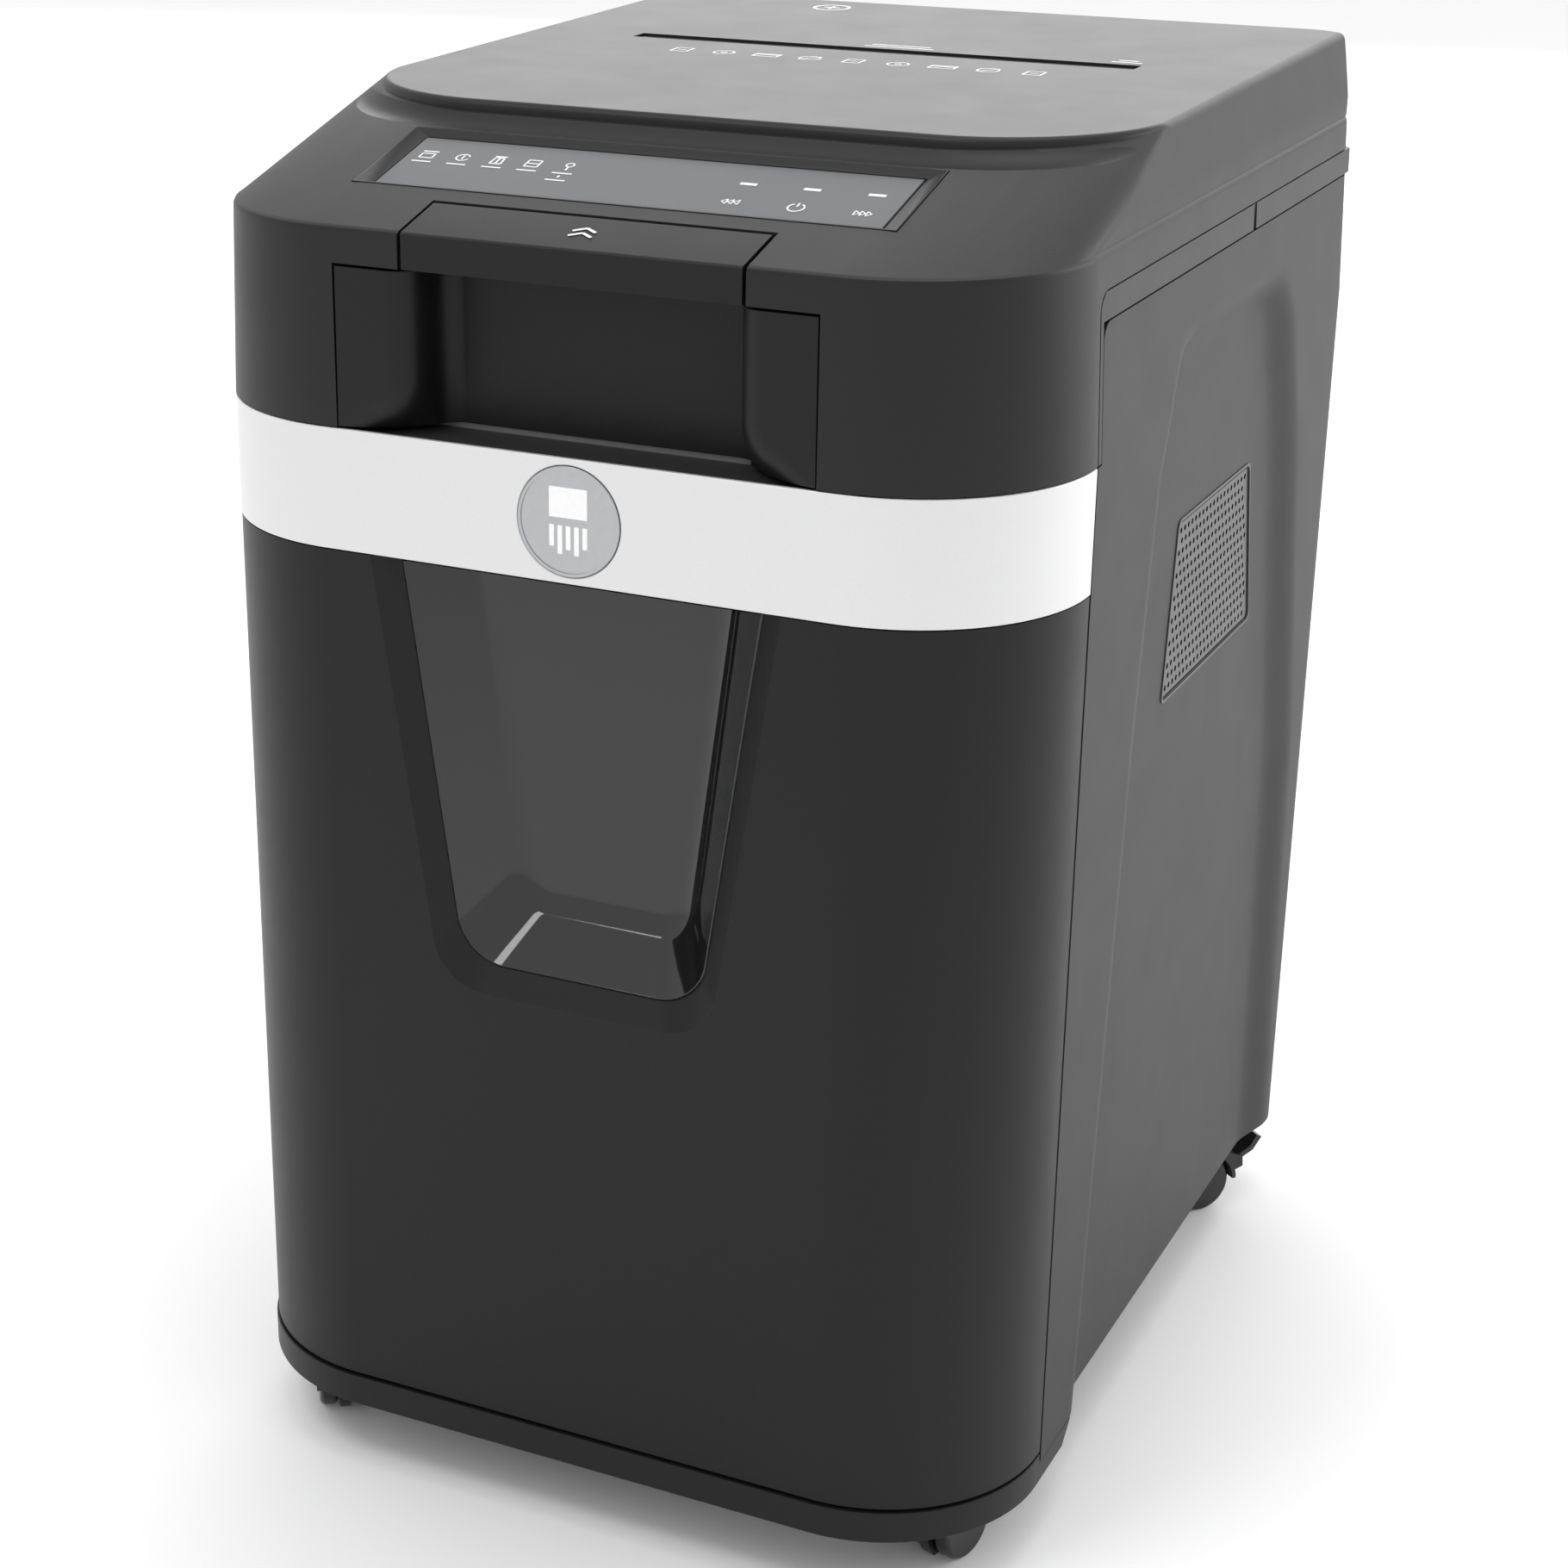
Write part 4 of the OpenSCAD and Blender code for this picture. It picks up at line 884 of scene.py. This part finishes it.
def make_top_signs():
    """Generic signs printed on the tray in front of and behind the hand-feed slot"""
    parts = []
    for i in range(9):
        x = -84 + i * 21.5
        y = 44
        kind = i % 4
        if kind == 0:
            outline(parts, [(x - 4, y - 5), (x + 4, y - 5), (x + 4, y + 5), (x - 4, y + 5)], 0.9)
            stroke(parts, x - 2, y, x + 2, y, 0.9)
        elif kind == 1:
            arc(parts, x, y, 5, 0, 360, 12, 0.9)
            arc(parts, x, y, 1.4, 0, 360, 6, 0.9)
        elif kind == 2:
            outline(parts, [(x - 6, y - 3.5), (x + 6, y - 3.5), (x + 6, y + 3.5), (x - 6, y + 3.5)], 0.9)
            stroke(parts, x - 6, y + 1.4, x + 6, y + 1.4, 1.4)
        else:
            stroke(parts, x - 4, y - 5, x + 4, y + 5, 0.9)
            arc(parts, x, y, 5, 0, 360, 12, 0.9)
    for x0, x1, y in ((-12, 22, 91), (108, 122, 91)):
        stroke(parts, x0, y, x1, y, 1.6)
        stroke(parts, x0 + 2, y + 5, x1 - 3, y + 5, 1.6)
    arc(parts, -77, 205, 9, 0, 360, 16, 1.6)
    stroke(parts, -81, 205, -73, 205, 1.6)
    stroke(parts, -77, 201, -77, 209, 1.6)
    signs = join(parts, "tray_signs")
    signs.rotation_euler = (TILT, 0, 0)
    signs.location = (0, 0, sizes().rim - TILT_Y * math.tan(TILT) - 0.02 * MM)
    settle(signs)
    place(signs, "lid", "panel_gloss", finish("ink"))


def make_handle():
    """Lift handle with its edges rounded, and the chevron printed on it"""
    obj = from_node("lift_handle", "lift_handle_cover", 0.7 * MM, 3, 40)
    place(obj, "handle", "black_abs", finish("shell"), "lift_handle")
    parts = []
    for k in (0, 4.2):
        stroke(parts, -5, -32.5 + k, 0, -29.5 + k, 1.3)
        stroke(parts, 5, -32.5 + k, 0, -29.5 + k, 1.3)
    arrow = to_slope(join(parts, "handle_chevron"))
    place(arrow, "handle", "panel_gloss", finish("ink"))


def make_pocket():
    """Finger pocket: cheeks that curve in to a hollow with a flat back"""
    z0, z1 = BAND_TOP + 1 * MM, high("pocket_insert").z
    half, inner, depth, turn = 105 * MM, 70 * MM, 31 * MM, 22 * MM
    obj = block("pocket_cheeks", (-half, FRONT + 0.2 * MM, z0), (half, FRONT + depth, z1))
    hollow = block("hollow", (-inner, FRONT - 20 * MM, z0 - 30 * MM),
                   (inner, FRONT + depth - 3 * MM, z1 + 20 * MM))
    bevel_edges(hollow, 9 * MM, 6, lambda a, b: abs(a.z - b.z) > 30 * MM and a.y > FRONT)
    combine(obj, hollow)
    at = lambda value, wanted: abs(value - wanted) < 0.01 * MM
    bevel_edges(obj, turn, 10, lambda a, b: at(a.z, z0) and at(b.z, z0) and at(abs(a.x), inner) and
                at(abs(b.x), inner))
    front_y = min(v.co.y for v in obj.data.vertices)
    bevel_edges(obj, 12 * MM, 8, lambda a, b: at(a.y, front_y) and at(b.y, front_y) and
                max(abs(a.x), abs(b.x)) < inner + turn + 0.1 * MM and
                not (at(a.z, z1) and at(b.z, z1)) and not (at(a.z, z0) and at(b.z, z0)))
    soften(obj, 0.5 * MM, 2, 50)
    place(smooth(obj, 35), "chassis", "black_abs", finish("shell"))
    # back wall of black ABS, given a light grey finish as painted light
    back = block("pocket_back", (-90 * MM, FRONT + depth - 2 * MM, 481 * MM),
                 (90 * MM, FRONT + depth + 0.6 * MM, z1))
    soften(back, 0.5 * MM)
    place(smooth(back), "chassis", "black_abs", finish("pocket"), "pocket_insert")


def make_pull():
    """Shelf behind the band's top edge, by which the drawer is pulled"""
    shelf = block("drawer_shelf", (-97 * MM, FRONT + 2.8 * MM, BAND_TOP - 3.6 * MM),
                  (97 * MM, FRONT + 28.2 * MM, BAND_TOP - 1.2 * MM))
    edit(shelf, "FACE", lambda c, n: n.y > 0.9)
    bpy.ops.mesh.extrude_region_move(TRANSFORM_OT_translate={"value": (0, 0.4 * MM, -3 * MM)})
    leave()
    soften(shelf, 0.7 * MM, 3)
    # the shelf's lighter grey finish is painted light; the real shelf is inner black ABS
    place(smooth(shelf), "drawer", "inner_abs", finish("shelf"), "drawer_pull")


# ---- sides ----

def scoop_edges(z):
    """Front and rear edge of the scoop at height z, in metres"""
    front = [(43, -107), (357, -79), (466, -64), (500, -50), (530, -34)]
    rear = [(43, 207), (267, 192), (438, 154), (500, 130), (530, 104)]
    out = []
    for line in (front, rear):
        for (za, ya), (zb, yb) in zip(line, line[1:]):
            if z / MM <= zb:
                break
        out.append((ya + (yb - ya) * (z / MM - za) / (zb - za)) * MM)
    return out


def ease(t):
    """Smooth step from 0 to 1"""
    t = min(1.0, max(0.0, t))
    return t * t * (3 - 2 * t)


def wrap_point(along, start):
    """Point on the outline, back from start and round the rear corner, and how far it faces sideways"""
    r = sizes().rear_corner
    straight = REAR - r - start
    if along < straight:
        return HALF_W, start + along, 1.0
    if along < straight + r * math.pi / 2:
        turn = (along - straight) / r
        return HALF_W - r + r * math.cos(turn), REAR - r + r * math.sin(turn), math.cos(turn)
    return HALF_W - r - (along - straight - r * math.pi / 2), REAR, 0.0


def make_side(side, name, node):
    """Side panel wrapped round the rear corner, with a shallow scoop that opens downwards"""
    rows, columns = 128, 150
    start = PART_Y + 0.7 * MM
    length = REAR - start + sizes().rear_corner * (math.pi / 2 - 1) + 8 * MM
    deselect()
    bpy.ops.mesh.primitive_grid_add(x_subdivisions=columns, y_subdivisions=rows, size=1)
    panel = bpy.context.object
    panel.name = name
    for vert in panel.data.vertices:
        z = BASE_Z + (vert.co.y + 0.5) * (SHOULDER_Z - BASE_Z)
        x, y, sideways = wrap_point((vert.co.x + 0.5) * length, start)
        front, rear = scoop_edges(z)
        shape = ease((y + 7 * MM - front) / SCOOP_FRONT) * ease((rear + 4 * MM - y) / SCOOP_REAR)
        shape *= ease((526 * MM - z) / SCOOP_TOP)
        x -= (SCOOP_DEPTH * shape + LEAN * max(0, z - BAND_TOP)) * sideways
        vert.co = (x * side, y, z)
    edit(panel, "FACE", lambda c, n: True)
    bpy.ops.mesh.normals_make_consistent(inside=False)
    leave()
    middle = min(panel.data.polygons, key=lambda f: (f.center - Vector((side * HALF_W, 0, 0.2))).length)
    if middle.normal.x * side < 0:
        edit(panel, "FACE", lambda c, n: True)
        bpy.ops.mesh.flip_normals()
        leave()
    apply_modifier(panel, "SOLIDIFY", thickness=2.6 * MM, offset=-1, use_even_offset=True)
    # upper front corner makes room for the shoulder frame
    inner, outer = side * (HALF_W - 40 * MM), side * (HALF_W + 20 * MM)
    combine(panel, block("notch", (inner, PART_Y - MM, BAND_TOP), (outer, PART_Y + 4.6 * MM, 1)))
    corner_y, corner_z = PART_Y + 12.6 * MM, SHOULDER_Z - 8 * MM
    cutter = block("corner", (inner, PART_Y, corner_z), (outer, corner_y, 1))
    combine(cutter, rod("round", (side * 180 * MM, corner_y, corner_z), 8 * MM, 100 * MM, "X"))
    combine(panel, cutter)
    combine(panel, vent_form("vent_gap", side, 0.5 * MM))
    smooth(panel, 40)
    place(panel, "chassis", "side_abs", finish("side"), node)
    end = "right" if side > 0 else "left"
    frame_ring = vent_form("vent_rim_" + end, side, 2.6 * MM, 7.6 * MM, 6.4 * MM)
    combine(frame_ring, vent_form("ring_gap", side, 1.2 * MM))
    soften(frame_ring, 0.35 * MM)
    place(smooth(frame_ring), "chassis", "inner_abs", finish("inner"))


def vent_form(name, side, grow, deep=30 * MM, out=-10 * MM):
    """Tapered outline of the vent; deep and out are depths below the side face"""
    box_low, box_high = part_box("vent_grille_right")
    x0, x1 = side * (HALF_W - deep), side * (HALF_W - out)
    z0, z1 = box_low.z - grow, box_high.z + grow
    obj = block(name, (x0, box_low.y - grow, z0), (x1, box_high.y + grow, z1))
    top_low, top_high = VENT_TOP[0] - grow, VENT_TOP[1] + grow
    middle = (top_low + top_high) / 2
    base_middle = (box_low.y + box_high.y) / 2
    ratio = (top_high - top_low) / (box_high.y - box_low.y + 2 * grow)
    move_part(obj, "FACE", lambda c, n: n.z > 0.9, shift=(0, middle - base_middle, 0), grow=(1, ratio, 1),
              centre=(0, base_middle, z1))
    bevel_edges(obj, 4 * MM, 4, lambda a, b: abs(a.x - b.x) > 1 * MM and (abs(a.y - b.y) < 1e-4))
    return obj


def make_trim():
    """Shoulder frame, skirt, rear panel and other CAD shapes with their edges rounded"""
    for node, body, slot, key, width in (
            ("shoulder_frame", "chassis", "black_abs", "lid", 0.4 * MM),
            ("front_skirt", "chassis", "black_abs", "shell", 0.8 * MM),
            ("rear_panel", "chassis", "black_abs", "side", 0.5 * MM),
            ("bin_tub", "drawer", "inner_abs", "inner", 0.8 * MM),
            ("feed_bed", "chassis", "inner_abs", "inner", 0.6 * MM),
            ("feed_sides", "chassis", "inner_abs", "inner", 0.6 * MM),
            ("feed_ends", "chassis", "inner_abs", "inner", 0.6 * MM),
            ("pressure_plate", "presser", "inner_abs", "inner", 0.6 * MM),
            ("presser_bridges", "presser", "inner_abs", "inner", 0.5 * MM),
            ("lid_liner", "lid", "inner_abs", "inner", 0.5 * MM),
            ("slot_chute", "lid", "inner_abs", "inner", 0.4 * MM),
            ("power_inlet", "chassis", "inner_abs", "inner", 0.4 * MM),
            ("rocker_switch", "rocker", "inner_abs", "inner", 0.5 * MM)):
        place(from_node(node, node + "_finished", width), body, slot, finish(key), node)


# ---- casters ----

def make_casters():
    """Hoods, twin wheels and brake pedals with their edges rounded"""
    for key in ("fl", "fr", "rl", "rr"):
        hood = from_node("caster_housing_" + key, "caster_hood_" + key, 0.7 * MM, 2, 40)
        place(hood, "caster_" + key, "caster_nylon", finish("caster"), "caster_housing_" + key)
        wheels = from_node("caster_wheels_" + key, "caster_twin_wheels_" + key, 0.6 * MM, 2, 40)
        place(wheels, "wheels_" + key, "caster_nylon", finish("caster"), "caster_wheels_" + key)
        if key in ("rl", "rr"):
            pedal = from_node("caster_brake_" + key, "caster_pedal_" + key, 0.5 * MM, 2, 40)
            place(pedal, "brake_" + key, "caster_nylon", finish("caster"), "caster_brake_" + key)


def make_springs():
    """Coil springs between the presser and the lid's sleeves"""
    z0, z1 = low("pressure_springs").z, 563.6 * MM
    coils = []
    for x in (-84, 84):
        for y in (-60, 30, 120, 184):
            deselect()
            bpy.ops.mesh.primitive_circle_add(vertices=8, radius=0.55 * MM, rotation=(math.pi / 2, 0, 0),
                                              location=(5.4 * MM, 0, z0))
            coil = settle(bpy.context.object)
            apply_modifier(coil, "SCREW", angle=math.radians(360 * 5.5), screw_offset=z1 - z0, steps=120,
                           render_steps=120, axis="Z")
            coil.location = (x * MM, y * MM, 0)
            coils.append(settle(coil))
    springs = join(coils, "presser_coils")
    edit(springs, "FACE", lambda c, n: True)
    bpy.ops.mesh.normals_make_consistent(inside=False)
    leave()
    place(smooth(springs, 60), "lid", "zinc_steel", finish("steel"), "pressure_springs")
    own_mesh(springs)


# ---- studio ----

# Name, place, target, width, power and height of each soft light
LIGHTS = (
    ("back_wall", (-0.9, 4.2, 2.0), (0, 0, 0.6), 4.5, 70, 2.4),
    ("right_wall", (3.2, 2.6, 1.5), (0, 0, 0.4), 3.0, 60, 2.4),
    ("overhead", (0.2, 0.3, 3.2), (0, 0, 0.3), 1.6, 18, 1.6),
    ("front_softbox", (-0.6, -1.2, 2.4), (0, -0.2, 0.3), 0.7, 10, 0.7),
)


def add_light(name, location, target, width, power, height):
    """Rectangular area light that faces the target"""
    data = bpy.data.lights.new(name, "AREA")
    data.shape = "RECTANGLE"
    data.size = width
    data.size_y = height
    data.energy = power
    lamp = bpy.data.objects.new(name, data)
    bpy.context.scene.collection.objects.link(lamp)
    lamp.location = location
    lamp.rotation_euler = (Vector(target) - Vector(location)).to_track_quat("-Z", "Y").to_euler()
    return lamp


def make_studio():
    """Pale floor, white surroundings, soft lights and the camera"""
    deselect()
    bpy.ops.mesh.primitive_grid_add(x_subdivisions=40, y_subdivisions=40, size=80, location=(0, 20, 0))
    floor = settle(bpy.context.object)
    floor.name = "studio_floor"
    material, tree, shader, coords = new_material("pale_studio_floor")
    tint(tree, shader, coords, linear("#fafafa"), 3, 0.01)
    shader.inputs["Roughness"].default_value = 0.9
    floor.data.materials.append(material)
    world = bpy.data.worlds.new("studio")
    bpy.context.scene.world = world
    world.use_nodes = True
    world.node_tree.nodes["Background"].inputs["Color"].default_value = (1, 1, 1, 1)
    world.node_tree.nodes["Background"].inputs["Strength"].default_value = 0.95
    bpy.context.scene.view_settings.view_transform = "Standard"
    for light in LIGHTS:
        add_light(*light)
    lens = bpy.data.cameras.new("camera")
    lens.lens = 70.44
    lens.sensor_width = 36
    lens.shift_x = 0.1044
    lens.shift_y = 0.0110
    lens.clip_end = 60
    camera = bpy.data.objects.new("camera", lens)
    bpy.context.scene.collection.objects.link(camera)
    camera.location = (0.542, -1.267, 0.8076)
    camera.rotation_euler = (math.radians(90 - 21.406), 0, math.radians(26.655))
    bpy.context.scene.camera = camera


# ---- operators, panel and registration ----

class SHREDDER_OT_finishes(bpy.types.Operator):
    """Make the materials and dress the CAD nodes"""
    bl_idname = "shredder.finishes"
    bl_label = "Finishes"

    def execute(self, context):
        build_finishes()
        dress_cad_nodes()
        return {"FINISHED"}


class SHREDDER_OT_drawer(bpy.types.Operator):
    """Build the drawer's front, window, silver band, badge and pull"""
    bl_idname = "shredder.drawer"
    bl_label = "Drawer"

    def execute(self, context):
        make_drawer_front()
        make_window()
        make_band()
        make_badge()
        make_pull()
        return {"FINISHED"}


class SHREDDER_OT_lid(bpy.types.Operator):
    """Build the lid with its raised tray, the control panel and the printed signs"""
    bl_idname = "shredder.lid"
    bl_label = "Lid"

    def execute(self, context):
        make_lid()
        make_panel()
        make_top_signs()
        return {"FINISHED"}


class SHREDDER_OT_handle(bpy.types.Operator):
    """Build the lift handle and its sign"""
    bl_idname = "shredder.handle"
    bl_label = "Handle"

    def execute(self, context):
        make_handle()
        return {"FINISHED"}


class SHREDDER_OT_pocket(bpy.types.Operator):
    """Build the finger pocket under the handle"""
    bl_idname = "shredder.pocket"
    bl_label = "Finger pocket"

    def execute(self, context):
        make_pocket()
        return {"FINISHED"}


class SHREDDER_OT_sides(bpy.types.Operator):
    """Build both side panels with their scoop and vent"""
    bl_idname = "shredder.sides"
    bl_label = "Sides"

    def execute(self, context):
        make_side(1, "side_cover_right", "side_panel_right")
        make_side(-1, "side_cover_left", "side_panel_left")
        return {"FINISHED"}


class SHREDDER_OT_trim(bpy.types.Operator):
    """Finish the frame, skirt, rear panel and inner mouldings"""
    bl_idname = "shredder.trim"
    bl_label = "Trim"

    def execute(self, context):
        make_trim()
        return {"FINISHED"}


class SHREDDER_OT_casters(bpy.types.Operator):
    """Finish the four twin-wheel casters"""
    bl_idname = "shredder.casters"
    bl_label = "Casters"

    def execute(self, context):
        make_casters()
        return {"FINISHED"}


class SHREDDER_OT_springs(bpy.types.Operator):
    """Build the coil springs over the presser"""
    bl_idname = "shredder.springs"
    bl_label = "Springs"

    def execute(self, context):
        make_springs()
        return {"FINISHED"}


class SHREDDER_OT_studio(bpy.types.Operator):
    """Set up the floor, lights and camera"""
    bl_idname = "shredder.studio"
    bl_label = "Studio"

    def execute(self, context):
        make_studio()
        return {"FINISHED"}


OPERATORS = [
    SHREDDER_OT_finishes, SHREDDER_OT_drawer, SHREDDER_OT_lid, SHREDDER_OT_handle, SHREDDER_OT_pocket,
    SHREDDER_OT_sides, SHREDDER_OT_trim, SHREDDER_OT_casters, SHREDDER_OT_springs, SHREDDER_OT_studio,
]


class SHREDDER_PT_build(bpy.types.Panel):
    """Lists the steps that build the shredder"""
    bl_label = "Paper shredder"
    bl_space_type = "VIEW_3D"
    bl_region_type = "UI"
    bl_category = "Shredder"

    def draw(self, context):
        for op in OPERATORS:
            self.layout.operator(op.bl_idname)


CLASSES = [ShredderSizes, ShredderColours] + OPERATORS + [SHREDDER_PT_build]


def register():
    """Register the classes and the settings"""
    for cls in CLASSES:
        bpy.utils.register_class(cls)
    bpy.types.Scene.shredder_sizes = PointerProperty(type=ShredderSizes)
    bpy.types.Scene.shredder_colours = PointerProperty(type=ShredderColours)


def unregister():
    """Take the settings and the classes away again"""
    del bpy.types.Scene.shredder_sizes
    del bpy.types.Scene.shredder_colours
    for cls in reversed(CLASSES):
        bpy.utils.unregister_class(cls)


def main():
    """Build every piece in order"""
    register()
    for op in OPERATORS:
        getattr(bpy.ops.shredder, op.bl_idname.split(".")[1])()


if __name__ == "__main__":
    main()
